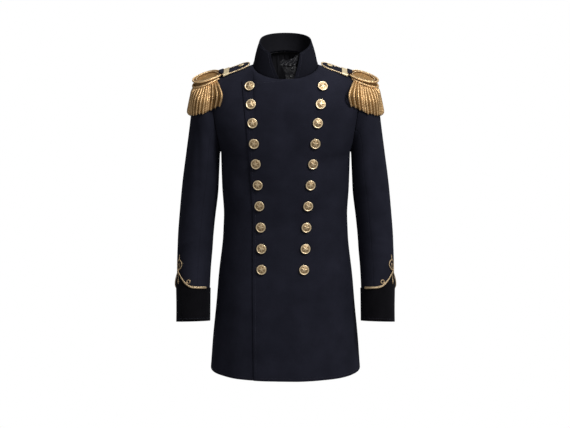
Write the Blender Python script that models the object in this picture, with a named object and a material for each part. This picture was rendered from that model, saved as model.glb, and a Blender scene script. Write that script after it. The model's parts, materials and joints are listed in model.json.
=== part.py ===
"""A double-breasted military dress coat, filled out as it is worn, in metres with +Z up.

The front faces -Y and the wearer's left is +X. The origin lies midway between the two side neck
points, where the wearer's neck and shoulders carry the coat. Every piece of cloth is a closed wall
made from a grid of outer points, and what lies on a panel is made from the panel's own points.
"""

import math
from collections import defaultdict

import bmesh
import bpy
from mathutils import Vector
from mathutils.bvhtree import BVHTree

# Cloth
WOOL = 0.0025                # thickness of the coat's heavy wool
COLLAR_WALL = 0.003
SATIN = 0.0012
VELVET = 0.0018
SEAM = 0.0002                # each edge is cut back by this much, so seams part by twice as much
REST_GAP = 0.0004            # between a piece and the panel that it lies on
LAP_LIFT = WOOL + 0.0005      # how far the outer front stands over the under front

# Body: a row for each level, from hem to chest
# height, half width, front depth, back depth, half width of the lap
BODY_LEVELS = (
    (-0.806, 0.1968, 0.150, 0.135, 0.0811),
    (-0.731, 0.1909, 0.144, 0.128, 0.0818),
    (-0.644, 0.1824, 0.137, 0.120, 0.0824),
    (-0.558, 0.1740, 0.130, 0.112, 0.0829),
    (-0.472, 0.1643, 0.122, 0.103, 0.0825),
    (-0.429, 0.1614, 0.119, 0.099, 0.0820),
    (-0.387, 0.1598, 0.118, 0.097, 0.0818),
    (-0.323, 0.1640, 0.120, 0.100, 0.0855),
    (-0.232, 0.1665, 0.123, 0.104, 0.0915),
)
SECTION_POWER = 0.85         # under 1 squares the oval section a little
BODY_ROWS = 9                # rows of facets below the chest
LAP_COLUMNS = 5              # columns from the centre to the lap's edge
SIDE_COLUMNS = 6             # columns from there to the side seam
COLUMNS = LAP_COLUMNS + SIDE_COLUMNS

# Neck and shoulders
NECK_HALF_WIDTH = 0.083
NECK_HALF_DEPTH = 0.076
NECK_MIDDLE_Y = -0.010
NECK_LEVEL = -0.0025         # height of the neck seam's plane at y = 0
NECK_SLOPE = 0.366           # the plane rises to the back
SHOULDER_X = 0.195
SHOULDER_Z = -0.045
LAP_AT_SHOULDER = 0.26       # where the lap's column meets the shoulder seam, as a share of it
LAP_TOP_Z = -0.0346          # height of the lap's level top edge at the centre
LAP_TOP_FALL = 0.053         # and how much it falls for each metre to the side
LAP_ROWS = 6                 # rows of facets from the chest to the lap's top edge
NECK_ROWS = 3                # rows from there to the neck and shoulder seams
SIDE_LAP_SHARE = 0.68        # how far up the side columns the lap's top row lies
UNDERARM_X = 0.1665
ARMSCYE_HALF_DEPTH = 0.068
BACK_POWER = 0.85            # the upper back stays full below the collar
LIFT_FADES = (0.115, 0.160)  # the outer front comes down to the side between these widths
LAP_SEARCH = (0.3, 1.0)      # the lap's top edge lies between these shares of a column's height

# Sleeve: a row for each ring, from shoulder to cuff
# outer x, outer z, inner x, inner z, half depth, middle y, forward tilt
SLEEVE_RINGS = (
    (0.1957, -0.0448, 0.1672, -0.2317, 0.0680, 0.000, 0.00),
    (0.2110, -0.0480, 0.1686, -0.2350, 0.0715, 0.000, 0.00),
    (0.2275, -0.0600, 0.1694, -0.2430, 0.0745, 0.000, 0.00),
    (0.2400, -0.0950, 0.1704, -0.2640, 0.0750, 0.002, 0.00),
    (0.2440, -0.1450, 0.1720, -0.2920, 0.0740, 0.003, 0.00),
    (0.2560, -0.2310, 0.1752, -0.3380, 0.0712, 0.005, 0.00),
    (0.2690, -0.3280, 0.1818, -0.3950, 0.0680, 0.005, 0.03),
    (0.2783, -0.4300, 0.1873, -0.4540, 0.0648, -0.001, 0.12),
    (0.2810, -0.4820, 0.1898, -0.4900, 0.0630, -0.009, 0.17),
    (0.2825, -0.5300, 0.1940, -0.5330, 0.0610, -0.020, 0.21),
    (0.2824, -0.5770, 0.1962, -0.5780, 0.0590, -0.032, 0.24),
    (0.2821, -0.6240, 0.1974, -0.6240, 0.0575, -0.045, 0.27),
    (0.2818, -0.6710, 0.1976, -0.6680, 0.0560, -0.058, 0.28),
)
CUFF_RING_STEP = 0.047       # length of sleeve between the last rings
SLEEVE_COLUMNS = 20
TOP_SLEEVE_COLUMNS = 6       # on each side of the outer line; the rest is the under sleeve

# Collar, with its open front given as turns in degrees from the centre front
COLLAR_INSET = 0.001
COLLAR_TOP_HALF_WIDTH = 0.066
COLLAR_TOP_HALF_DEPTH = 0.0665
COLLAR_TOP_MIDDLE_Y = -0.0025
COLLAR_TOP_HEIGHT = (0.052, 0.32, -1.8)   # height at y = 0, and its terms in y and in y squared
COLLAR_FRONT_TURNS = ((14.9, 33.8), (11.4, 36.4))   # foot and top, on the left and on the right
COLLAR_COLUMNS = 22
COLLAR_ROWS = 3

# Cuff and its braid, measured as turns in degrees from the knot's line and heights over the border
CUFF_DEPTH = 0.086
KNOT_TURN = 36.0
BORDER_RISE = 0.042
BORDER_RISE_TURN = 54.0
BORDER_POWER = 1.5           # over 1 draws the border in to a point
CUFF_MEAN_RADIUS = 0.050
CUFF_ROWS = 3
BRAID_SIDES = 5
BRAID_STEP_DOWN = 0.012      # height in which the braid comes down from the velvet to the wool
# turn, height, radius along one strand of the braid, from its end at the under sleeve
BRAID_STRAND = (
    (114.0, 0.0000, 0.0036),
    (108.0, 0.0000, 0.0039),
    (90.0, 0.0000, 0.0040),
    (72.0, 0.0000, 0.0039),
    (54.0, 0.0010, 0.0036),
    (45.0, 0.0035, 0.0034),
    (36.0, 0.0083, 0.0031),
    (27.0, 0.0150, 0.0028),
    (18.0, 0.0232, 0.0026),
    (9.0, 0.0325, 0.0023),
    (0.0, 0.0430, 0.0021),
    (-8.5, 0.0500, 0.0020),
    (-13.0, 0.0575, 0.0019),
    (-11.0, 0.0645, 0.0019),
    (-5.5, 0.0690, 0.0019),
    (0.8, 0.0720, 0.0019),
)
# the same columns for the point over the loop, the drop below the crossing and the bud in the loop
BRAID_FINIAL = ((0.0, 0.0690, 0.0016), (0.0, 0.0770, 0.0014), (0.0, 0.0840, 0.0008))
BRAID_DROP = ((0.0, 0.0440, 0.0011), (0.0, 0.0300, 0.0010), (0.0, 0.0170, 0.0024), (0.0, 0.0080, 0.0010))
BRAID_BUD = ((0.0, 0.0430, 0.0011), (0.0, 0.0520, 0.0010), (0.0, 0.0580, 0.0020), (0.0, 0.0620, 0.0010))
CURL_TURN = 41.0
CURL_HEIGHT = 0.0145
CURL_RADIUS = 0.0048
CURL_CORD = 0.0015
CURL_STEPS = 8
CURL_SIDES = 4

# Epaulette
STRAP_OUTER_X = 0.1600
STRAP_TIP_X = 0.0945
STRAP_ROUND_X = 0.1125       # the tip's rounding ends here
STRAP_HALF_WIDTH = 0.024
STRAP_THICK = 0.0032
STRAP_TILT = 0.12            # it falls forward
STRAP_GAP = 0.0006
STRAP_CORD = 0.0020
STRAP_CORD_SIDES = 6
STRAP_TIP_FLAT = 0.0008      # this much of the round tip is cut off flat
STRAP_TIP_SLOPE = 6.0        # slope of its outline there
STRAP_STATIONS = (STRAP_OUTER_X, 0.140, 0.125, STRAP_ROUND_X, 0.106, 0.100, 0.0965)   # x of its facets
STRAP_SIDE_CLEAR = 0.001     # beyond the keeper, where the shoulder's level still counts
KEEPER_X = (0.1445, 0.1585)
KEEPER_WALL = 0.0012
RING_X = 0.2001
RING_HALF_WIDTH = 0.0371
RING_HALF_DEPTH = 0.0490
RING_LEVEL_X = STRAP_OUTER_X + 0.001
RING_LEVEL = -0.0258         # height of the ring's plane there
RING_FALL = 0.28
RING_TILT = 0.116
UPPER_CORD = 0.0026
LOWER_CORD = 0.0029
LOWER_CORD_DROP = (0.0058, 0.0090)   # at the strap's end, and how much more at the outer end
LOWER_CORD_POWER = 1.4       # over 1 keeps the extra drop near the outer end
ROPE_SIDES = 5
BOARD_THICK = 0.0020
RING_STEPS = 24
BAND_THICK = 0.0020
BAND_GAP = 0.0008            # between the fringe's band and the lower rope
BAND_BELOW = 0.0006          # how far the band reaches under the lower rope
STRANDS = 33
STRAND_HALF = 0.0026
STRAND_SHARE = 0.80          # of the pitch at the root; the rest is the space between two strands
STRAND_ARC = 142.0           # the fringe runs this many degrees to each side of the outer end
STRAND_CLEAR = 0.0016
STRAND_SIDE_CLEAR = 0.0006   # beside a strand
STRAND_BACK = 0.03           # a strand is measured from a line this far inside its root
STRAND_MOST_INWARD = -0.25   # how far the way of an inner strand may lean to the neck
STRAND_TIP_X = STRAP_OUTER_X + 0.006        # where a strand would end at the height TIP_Z
STRAND_SIGHT = 0.2           # how far out the cloth is looked for
STRAND_TRIES = (0.3, 0.5, 0.7, 0.85, 1.0)   # shares of a section where its clearance is tested
STRAND_SHARES = (0.16, 0.50, 1.00)        # heights of a strand's sections, from root to tip
STRAND_SPREADS = (0.0045, 0.0035, 0.0025) # how far each stands out over the one above
TIP_Z = -0.1000              # of the innermost strand
TIP_FALL = 0.39

# Buttons
BUTTON_RADIUS = 0.01275
BUTTON_SIDES = 10
BUTTON_SEAT_SHARE = 0.7      # of the radius, where a button touches the cloth
# height, distance of the right and left columns from the centre
BUTTON_ROWS = (
    (-0.0520, -0.0897, 0.0930),
    (-0.0943, -0.0865, 0.0880),
    (-0.1402, -0.0827, 0.0807),
    (-0.1916, -0.0788, 0.0745),
    (-0.2446, -0.0742, 0.0686),
    (-0.2988, -0.0693, 0.0627),
    (-0.3528, -0.0654, 0.0568),
    (-0.4084, -0.0622, 0.0526),
    (-0.4633, -0.0606, 0.0501),
    (-0.5168, -0.0605, 0.0469),
)
# radius and height of a domed button's outline, as shares of its radius
BUTTON_OUTLINE = ((0.30, 0.0), (1.0, 0.20), (1.0, 0.32), (0.62, 0.50))
SMALL_BUTTON_RADIUS = 0.0042
INNER_BUTTONS = ((0.0188, -0.0074), (0.0152, -0.0270))   # x and z in the neck opening
STRAP_BUTTON_X = 0.1125
STRAP_BUTTON_RADIUS = 0.0078

# Satin in the neck opening
STAND_COLUMNS = (0.04, 0.31, 0.58, 0.85)    # in columns of the front
STAND_ROWS = (3.5, 4.4, 5.2)                # in rows over the chest
# depth and height of the stand's free upper part
STAND_TOP = ((-0.0742, -0.0310), (-0.0700, -0.0160), (-0.0640, -0.0020), (-0.0600, 0.0080))
# the tab: x, lower z, upper z and how far its folds stand out
TAB_STATIONS = (
    (-0.0155, 0.0010, 0.0062, 0.0004),
    (-0.0085, -0.0010, 0.0165, 0.0022),
    (-0.0020, 0.0005, 0.0170, 0.0006),
    (0.0045, 0.0000, 0.0160, 0.0030),
    (0.0105, -0.0005, 0.0175, 0.0008),
    (0.0165, 0.0010, 0.0200, 0.0028),
    (0.0225, 0.0040, 0.0225, 0.0006),
    (0.0275, 0.0110, 0.0250, 0.0018),
    (0.0315, 0.0215, 0.0270, 0.0004),
)

# Colours and finishes: colour, roughness, metallic
WOOL_NAVY = ("wool", (0.012, 0.012, 0.020), 0.9, 0.0)
VELVET_BLACK = ("velvet", (0.004, 0.004, 0.006), 0.95, 0.0)
SATIN_BLACK = ("satin", (0.018, 0.018, 0.022), 0.4, 0.0)
GOLD_CORD = ("gold_cord", (0.62, 0.40, 0.14), 0.5, 0.6)
GOLD_METAL = ("gold_metal", (0.70, 0.50, 0.22), 0.35, 1.0)
BLACK_HORN = ("black_horn", (0.015, 0.015, 0.017), 0.4, 0.0)

LEFT_SURFACES = ("front_left", "back_left", "sleeve_top_left", "sleeve_under_left")
PLACES = 6   # decimal places of a metre at which two points count as one
FAR = 0.5    # a line that looks for the cloth starts at this distance


def clear_scene():
    for item in list(bpy.data.objects):
        bpy.data.objects.remove(item, do_unlink=True)


def finish_material(finish):
    name, colour, roughness, metallic = finish
    material = bpy.data.materials.new(name)
    material.use_nodes = True
    shader = material.node_tree.nodes["Principled BSDF"]
    shader.inputs["Base Color"].default_value = (*colour, 1.0)
    shader.inputs["Roughness"].default_value = roughness
    shader.inputs["Metallic"].default_value = metallic
    return material


def add_object(name, points, faces, finish, smooth=False):
    """A new object whose mesh holds the points and faces, with its own material."""
    mesh = bpy.data.meshes.new(name)
    mesh.from_pydata([tuple(p) for p in points], [], faces)
    mesh.update()
    if smooth:
        mesh.shade_smooth()
        mesh.set_sharp_from_angle(angle=math.radians(40))
    item = bpy.data.objects.new(name, mesh)
    item.data.materials.append(finish_material(finish))
    bpy.context.scene.collection.objects.link(item)
    return item


def key(point):
    return tuple(round(c, PLACES) for c in point)


def smoothstep(low, high, value):
    share = min(max((value - low) / (high - low), 0.0), 1.0)
    return share * share * (3 - 2 * share)


def flipped(point):
    return Vector((-point.x, point.y, point.z))


def turned(quad):
    """The same quad seen from behind, from the same first corner."""
    return (quad[0], quad[3], quad[2], quad[1])


def mirrored(quads):
    """The same quads on the other side, with their faces still pointing out."""
    return [tuple(flipped(p) for p in turned(quad)) for quad in quads]


def split(quad):
    """The corners of a quad's two triangles, cut along its shorter diagonal."""
    if (quad[0] - quad[2]).length <= (quad[1] - quad[3]).length:
        return ((0, 1, 2), (0, 2, 3))
    return ((0, 1, 3), (1, 2, 3))


def table_row(table, height):
    """The table's other columns at a height, on a smooth curve through its rows."""
    last = len(table) - 1
    k = 0
    while k < last - 1 and height > table[k + 1][0]:
        k += 1
    start, end = table[k], table[k + 1]
    span = end[0] - start[0]
    share = min(max((height - start[0]) / span, 0.0), 1.0)
    values = []
    for c in range(1, len(start)):
        slopes = []
        for m in (k, k + 1):
            before, after = table[max(m - 1, 0)], table[min(m + 1, last)]
            slopes.append((after[c] - before[c]) / (after[0] - before[0]) * span)
        a = 2 * start[c] - 2 * end[c] + slopes[0] + slopes[1]
        b = -3 * start[c] + 3 * end[c] - 2 * slopes[0] - slopes[1]
        values.append(((a * share + b) * share + slopes[0]) * share + start[c])
    return values


def body_point(column, height, back):
    """A point of the body below the chest, with column 0 at the centre."""
    half_width, front, back_depth, lap = table_row(BODY_LEVELS, height)
    lap_turn = math.asin((lap / half_width) ** (1 / SECTION_POWER))
    if column <= LAP_COLUMNS:
        across = lap * column / LAP_COLUMNS / half_width
        turn = math.asin(across ** (1 / SECTION_POWER))
    else:
        share = (column - LAP_COLUMNS) / SIDE_COLUMNS
        turn = lap_turn + (math.pi / 2 - lap_turn) * share
    depth = back_depth if back else -front
    x = half_width * math.sin(turn) ** SECTION_POWER
    y = depth * abs(math.cos(turn)) ** SECTION_POWER
    return Vector((x, y, height)), turn / (math.pi / 2)


def neck_point(turn, inset=0.0):
    """A point of the neck seam, turned in degrees from the centre front."""
    angle = math.radians(turn)
    x = (NECK_HALF_WIDTH - inset) * math.sin(angle)
    y = NECK_MIDDLE_Y - (NECK_HALF_DEPTH - inset) * math.cos(angle)
    return Vector((x, y, NECK_LEVEL + NECK_SLOPE * y))


def top_point(column, back):
    """Where a column ends: on the neck seam near the centre, on the shoulder seam outside it."""
    neck_columns = LAP_COLUMNS - 1
    if column <= neck_columns:
        turn = 90 * column / neck_columns
        return neck_point(180 - turn if back else turn)
    share = LAP_AT_SHOULDER + (1 - LAP_AT_SHOULDER) * (column - LAP_COLUMNS) / SIDE_COLUMNS
    return neck_point(90).lerp(Vector((SHOULDER_X, 0, SHOULDER_Z)), share)


def armscye_point(share, back):
    """A point of the armhole seam, from the underarm at 0 to the shoulder at 1."""
    chest_z = BODY_LEVELS[-1][0]
    up = (1 - math.cos(math.pi * share)) / 2
    depth = ARMSCYE_HALF_DEPTH * math.sin(math.pi * share)
    x = UNDERARM_X + (SHOULDER_X - UNDERARM_X) * up
    return Vector((x, depth if back else -depth, chest_z + (SHOULDER_Z - chest_z) * up))


def rounded(low, high, share, power):
    """From low to high on a quarter oval that sets off straight up; a power under 1 squares it."""
    rise = math.sin(share * math.pi / 2) ** power
    pull = 1 - abs(math.cos(share * math.pi / 2)) ** power
    step = high - low
    return low + Vector((step.x * rise, step.y * pull, step.z * rise))


def upper_point(column, share, back):
    """A point between the chest and the neck, shoulder and armhole seams."""
    chest_z = BODY_LEVELS[-1][0]
    low, across = body_point(column, chest_z, back)
    low_in = body_point(0, chest_z, back)[0]
    low_out = body_point(COLUMNS, chest_z, back)[0]
    high_in, high_out = top_point(0, back), top_point(COLUMNS, back)
    power = BACK_POWER if back else 1.0
    over = rounded(low, top_point(column, back), share, power)
    side = rounded(low_in, high_in, share, power).lerp(armscye_point(share, back), across)
    corners = rounded(low_in.lerp(low_out, across), high_in.lerp(high_out, across), share, power)
    return over + side - corners


def lap_share(column):
    """How far up a column the lap's top edge lies."""
    if column > LAP_COLUMNS:
        return lap_share(LAP_COLUMNS)
    low, high = LAP_SEARCH
    for _ in range(30):
        middle = (low + high) / 2
        point = upper_point(column, middle, False)
        if point.z < LAP_TOP_Z - LAP_TOP_FALL * point.x:
            low = middle
        else:
            high = middle
    return low


def body_grid(back):
    """Points of one half of the front or back: a list of columns, each from hem to top."""
    hem, chest = BODY_LEVELS[0][0], BODY_LEVELS[-1][0]
    grid = []
    for column in range(COLUMNS + 1):
        lap = SIDE_LAP_SHARE if back else lap_share(column)
        points = [body_point(column, hem + (chest - hem) * i / BODY_ROWS, back)[0] for i in range(BODY_ROWS)]
        shares = [lap * i / LAP_ROWS for i in range(LAP_ROWS + 1)]
        shares += [lap + (1 - lap) * (i + 1) / NECK_ROWS for i in range(NECK_ROWS)]
        points += [upper_point(column, share, back) for share in shares]
        grid.append(points)
    return grid


def grid_quads(grid, columns, rows, outward=True):
    """Quads of a grid's columns and rows, wound to face out."""
    quads = []
    for c in columns:
        for r in rows:
            quad = (grid[c][r], grid[c + 1][r], grid[c + 1][r + 1], grid[c][r + 1])
            quads.append(quad if outward else turned(quad))
    return quads


def point_normals(quads):
    """The outward direction at each point, averaged over the quads that meet there."""
    total = defaultdict(Vector)
    for quad in quads:
        area = (quad[2] - quad[0]).cross(quad[3] - quad[1])
        for point in quad:
            total[key(point)] += area
    return {k: v.normalized() for k, v in total.items()}


def cloth_wall(name, quads, normals, thick, finish, lift=None):
    """A closed wall of cloth whose outer face is the quads, moved out by the lift."""
    index, points = {}, []
    faces = []
    for quad in quads:
        for point in quad:
            if key(point) not in index:
                index[key(point)] = len(points)
                points.append(point.copy())
        corners = [index[key(point)] for point in quad]
        faces += [[corners[c] for c in triangle] for triangle in split(quad)]
    directions = [normals[key(point)] for point in points]
    lifts = [lift(point) if lift else 0.0 for point in points]
    used = {(face[i], face[(i + 1) % 3]) for face in faces for i in range(3)}
    rim = [(a, b) for a, b in used if (b, a) not in used]
    inward = defaultdict(list)
    for a, b in rim:
        along = (points[b] - points[a]).normalized()
        for end in (a, b):
            inward[end].append(directions[end].cross(along).normalized())
    for end, sides in inward.items():
        corner = sides[0] + sides[1]
        points[end] += corner * (SEAM / max(1 + sides[0].dot(sides[1]), 0.5))
    outer = [p + d * h for p, d, h in zip(points, directions, lifts)]
    inner = [p + d * (h - thick) for p, d, h in zip(points, directions, lifts)]
    count = len(points)
    shell = faces + [[v + count for v in reversed(face)] for face in faces]
    shell += [[b, a, a + count, b + count] for a, b in sorted(rim)]
    return add_object(name, outer + inner, shell, finish, smooth=True)


def make_panels():
    """The four body panels. Returns the grids and the outward direction at each point."""
    front, back = body_grid(False), body_grid(True)
    rows = range(BODY_ROWS + LAP_ROWS + NECK_ROWS)
    lap_rows = range(BODY_ROWS + LAP_ROWS)
    half_front = grid_quads(front, range(COLUMNS), rows)
    half_back = grid_quads(back, range(COLUMNS), rows, outward=False)
    halves = half_front + half_back
    normals = point_normals(halves + mirrored(halves))
    lap = grid_quads(front, range(LAP_COLUMNS), lap_rows)
    top_rows = {key(front[c][-1 - r]): r / NECK_ROWS for c in range(COLUMNS + 1) for r in range(NECK_ROWS)}

    def outer_lift(point):
        if point.x < 0:
            return LAP_LIFT
        side = 1 - smoothstep(*LIFT_FADES, point.x)
        return LAP_LIFT * side * top_rows.get(key(point), 1.0)

    cloth_wall("front_left", half_front + mirrored(lap), normals, WOOL, WOOL_NAVY, outer_lift)
    cloth_wall("front_right", mirrored(half_front) + lap, normals, WOOL, WOOL_NAVY)
    cloth_wall("back_left", half_back, normals, WOOL, WOOL_NAVY)
    cloth_wall("back_right", mirrored(half_back), normals, WOOL, WOOL_NAVY)
    return front, back, normals


def sleeve_grid():
    """Points of the left sleeve: a list of columns round the arm, each from shoulder to cuff."""
    grid = []
    for column in range(SLEEVE_COLUMNS + 1):
        angle = math.tau * (column % SLEEVE_COLUMNS) / SLEEVE_COLUMNS
        points = []
        for outer_x, outer_z, inner_x, inner_z, half_depth, middle_y, tilt in SLEEVE_RINGS:
            outer = Vector((outer_x, middle_y, outer_z))
            inner = Vector((inner_x, middle_y, inner_z))
            forward = Vector((0, -half_depth, half_depth * tilt))
            middle = (outer + inner) / 2
            points.append(middle + (outer - middle) * math.cos(angle) + forward * math.sin(angle))
        grid.append(points)
    return grid


def make_sleeves():
    grid = sleeve_grid()
    rows = range(len(SLEEVE_RINGS) - 1)
    tube = grid_quads(grid, range(SLEEVE_COLUMNS), rows)
    normals = point_normals(tube)
    outer_columns = grid[-1 - TOP_SLEEVE_COLUMNS:-1] + grid[:TOP_SLEEVE_COLUMNS + 1]
    top = grid_quads(outer_columns, range(2 * TOP_SLEEVE_COLUMNS), rows)
    under = grid_quads(grid, range(TOP_SLEEVE_COLUMNS, SLEEVE_COLUMNS - TOP_SLEEVE_COLUMNS), rows)
    other = {key(flipped(Vector(k))): flipped(v) for k, v in normals.items()}
    for side, quads in (("top", top), ("under", under)):
        cloth_wall(f"sleeve_{side}_left", quads, normals, WOOL, WOOL_NAVY)
        cloth_wall(f"sleeve_{side}_right", mirrored(quads), other, WOOL, WOOL_NAVY)
    return grid, normals


def on_grid(grid, normals, column, row):
    """The point and outward direction at a fractional column and row of a grid's facets."""
    c, r = int(math.floor(column)), int(math.floor(row))
    c, r = min(c, len(grid) - 2), min(r, len(grid[0]) - 2)
    u, v = column - c, row - r
    corners = ((c, r), (c + 1, r), (c, r + 1), (c + 1, r + 1))
    shares = ((1 - u) * (1 - v), u * (1 - v), (1 - u) * v, u * v)
    point, direction = Vector(), Vector()
    for (a, b), share in zip(corners, shares):
        point += grid[a][b] * share
        direction += normals[key(grid[a][b])] * share
    return point, direction.normalized()


def on_cuff(grid, normals, turn, height, lift):
    """A point over the sleeve, at a turn from the knot's line and a height over the border."""
    column = ((KNOT_TURN + turn) % 360) / 360 * SLEEVE_COLUMNS
    row = len(SLEEVE_RINGS) - 1 - (CUFF_DEPTH + height) / CUFF_RING_STEP
    point, direction = on_grid(grid, normals, column, row)
    return point + direction * lift, direction


def border_height(turn):
    """How far the cuff's edge rises towards the knot's line."""
    share = 1 - min(abs(turn) / BORDER_RISE_TURN, 1.0)
    return BORDER_RISE * share ** BORDER_POWER


def make_cuffs(grid, normals):
    column_turn = 360 / SLEEVE_COLUMNS
    turns = []
    for k in range(-SLEEVE_COLUMNS // 2, SLEEVE_COLUMNS // 2):
        turns.append(k * column_turn)
        if abs(k + 0.5) * column_turn < BORDER_RISE_TURN:
            turns.append((k + 0.5) * column_turn)
    columns, directions = [], {}
    for turn in turns:
        points = []
        for r in range(CUFF_ROWS + 1):
            up = (CUFF_DEPTH + border_height(turn)) * r / CUFF_ROWS - CUFF_DEPTH
            point, direction = on_cuff(grid, normals, turn, up, 0.0)
            points.append(point)
            directions[key(point)] = direction
        columns.append(points)
    columns.append(columns[0])
    quads = grid_quads(columns, range(len(turns)), range(CUFF_ROWS), outward=False)
    other = {key(flipped(Vector(k))): flipped(v) for k, v in directions.items()}
    lift = REST_GAP + VELVET
    cloth_wall("cuff_left", quads, directions, VELVET, VELVET_BLACK, lambda point: lift)
    cloth_wall("cuff_right", mirrored(quads), other, VELVET, VELVET_BLACK, lambda point: lift)


def tube_mesh(path, radii, sides, closed=False):
    """Points and faces of a round cord along a path, with flat ends unless it is closed."""
    points, faces = [], []
    count = len(path)
    side = None
    for i, middle in enumerate(path):
        before = path[i - 1] if i or closed else middle
        after = path[(i + 1) % count] if i < count - 1 or closed else middle
        along = (after - before).normalized()
        if side is None:
            side = along.orthogonal()
        side = (side - along * side.dot(along)).normalized()
        across = along.cross(side)
        for k in range(sides):
            angle = math.tau * k / sides
            points.append(middle + (side * math.cos(angle) + across * math.sin(angle)) * radii[i])
    for i in range(count if closed else count - 1):
        after = (i + 1) % count
        shift = 0
        if closed and after == 0:
            shift = min(range(sides), key=lambda s: (points[s] - points[i * sides]).length)
        for k in range(sides):
            a, b = i * sides + k, i * sides + (k + 1) % sides
            c, d = after * sides + (k + 1 + shift) % sides, after * sides + (k + shift) % sides
            faces.append([a, b, c, d])
    if not closed:
        faces.append(list(reversed(range(sides))))
        faces.append(list(range((count - 1) * sides, count * sides)))
    return points, faces


def add_cord(name, path, radius, sides, closed=False):
    """A cord on the left side and its mirror image on the right."""
    points, faces = tube_mesh(path, [radius] * len(path), sides, closed)
    add_pair(name, points, faces, GOLD_CORD)


def add_pair(name, points, faces, finish):
    add_object(f"{name}_left", points, faces, finish, smooth=True)
    other_faces = [list(reversed(face)) for face in faces]
    add_object(f"{name}_right", [flipped(p) for p in points], other_faces, finish, smooth=True)


def fused(shapes):
    """The points and faces of one closed body made from shapes that run into each other."""
    base = add_object("fused", *shapes[0], GOLD_CORD)
    tools = [add_object("tool", *shape, GOLD_CORD) for shape in shapes[1:]]
    for tool in tools:
        join = base.modifiers.new("Join", "BOOLEAN")
        join.operation = "UNION"
        join.solver = "EXACT"
        join.object = tool
    mesh = bpy.data.meshes.new_from_object(base.evaluated_get(bpy.context.evaluated_depsgraph_get()))
    points = [v.co.copy() for v in mesh.vertices]
    faces = [list(p.vertices) for p in mesh.polygons]
    for item in [base, *tools]:
        bpy.data.objects.remove(item, do_unlink=True)
    return points, faces


def make_cuff_braids(grid, normals):
    """The gold cord on the cuff's edge: two strands that cross, loop and meet, with small curls."""
    over_cuff = REST_GAP + VELVET + 2 * REST_GAP

    def lift(height):
        share = smoothstep(BORDER_RISE, BORDER_RISE + BRAID_STEP_DOWN, height)
        return over_cuff + (REST_GAP - over_cuff) * share

    def laid(rows, side):
        path = [on_cuff(grid, normals, side * t, h, lift(h) + r)[0] for t, h, r in rows]
        return tube_mesh(path, [row[2] for row in rows], BRAID_SIDES)

    shapes = [laid(BRAID_STRAND, side) for side in (1, -1)]
    shapes += [laid(rows, 1) for rows in (BRAID_FINIAL, BRAID_DROP, BRAID_BUD)]
    turn_size = math.degrees(1 / CUFF_MEAN_RADIUS)
    for side in (1, -1):
        path = []
        for k in range(CURL_STEPS):
            angle = math.tau * k / CURL_STEPS
            turn = side * CURL_TURN + CURL_RADIUS * math.cos(angle) * turn_size
            height = CURL_HEIGHT + CURL_RADIUS * math.sin(angle)
            path.append(on_cuff(grid, normals, turn, height, over_cuff + CURL_CORD)[0])
        shapes.append(tube_mesh(path, [CURL_CORD] * CURL_STEPS, CURL_SIDES, closed=True))
    points, faces = fused(shapes)
    add_pair("cuff_braid", points, faces, GOLD_CORD)


def collar_point(turn_share, up):
    """A point of the stand collar, from its left front edge round the back to its right one."""
    left, right = COLLAR_FRONT_TURNS
    start = left[0] + (left[1] - left[0]) * up
    end = 360 - (right[0] + (right[1] - right[0]) * up)
    turn = start + (end - start) * turn_share
    foot = neck_point(turn, COLLAR_INSET)
    foot.z += REST_GAP + SEAM
    angle = math.radians(turn)
    y = COLLAR_TOP_MIDDLE_Y - COLLAR_TOP_HALF_DEPTH * math.cos(angle)
    level, slope, bow = COLLAR_TOP_HEIGHT
    top = Vector((COLLAR_TOP_HALF_WIDTH * math.sin(angle), y, level + slope * y + bow * y * y))
    return foot.lerp(top, up)


def make_collar():
    grid = []
    for c in range(COLLAR_COLUMNS + 1):
        grid.append([collar_point(c / COLLAR_COLUMNS, r / COLLAR_ROWS) for r in range(COLLAR_ROWS + 1)])
    quads = grid_quads(grid, range(COLLAR_COLUMNS), range(COLLAR_ROWS))
    cloth_wall("collar", quads, point_normals(quads), COLLAR_WALL, WOOL_NAVY)


def make_neck_satin(front, back, normals):
    """The lining inside the back neck, and the button stand and tab in the neck opening."""
    under = -(WOOL + REST_GAP)
    columns, rows = range(3), range(BODY_ROWS + 3, BODY_ROWS + LAP_ROWS + NECK_ROWS)
    half = grid_quads(back, columns, rows, outward=False)
    cloth_wall("neck_lining", half + mirrored(half), normals, SATIN, SATIN_BLACK, lambda point: under)

    stand = []
    for column in STAND_COLUMNS:
        points = []
        for row in STAND_ROWS:
            point, direction = on_grid(front, normals, column, BODY_ROWS + row)
            points.append(point + direction * under)
        across = points[-1].x
        points += [Vector((across, depth, height)) for depth, height in STAND_TOP]
        stand.append(points)
    quads = grid_quads(stand, range(len(stand) - 1), range(len(stand[0]) - 1))
    cloth_wall("inner_stand", quads, point_normals(quads), SATIN, SATIN_BLACK)

    (low_y, low_z), (high_y, high_z) = STAND_TOP[1], STAND_TOP[3]
    lean = (high_y - low_y) / (high_z - low_z)
    tab = []
    for x, lower, upper, fold in TAB_STATIONS:
        points = []
        for r in range(4):
            z = lower + (upper - lower) * r / 3
            y = low_y + lean * (z - low_z) - REST_GAP - SATIN - fold
            points.append(Vector((x, y, z)))
        tab.append(points)
    quads = grid_quads(tab, range(len(tab) - 1), range(3))
    cloth_wall("neck_tab", quads, point_normals(quads), SATIN, SATIN_BLACK)

    tree = surface_tree(["inner_stand"])
    for number, (x, z) in enumerate(INNER_BUTTONS, 1):
        place, direction = seat_from_front(tree, x, z, SMALL_BUTTON_RADIUS)
        add_button(f"inner_button_{number}", place, direction, SMALL_BUTTON_RADIUS, BLACK_HORN)


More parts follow.
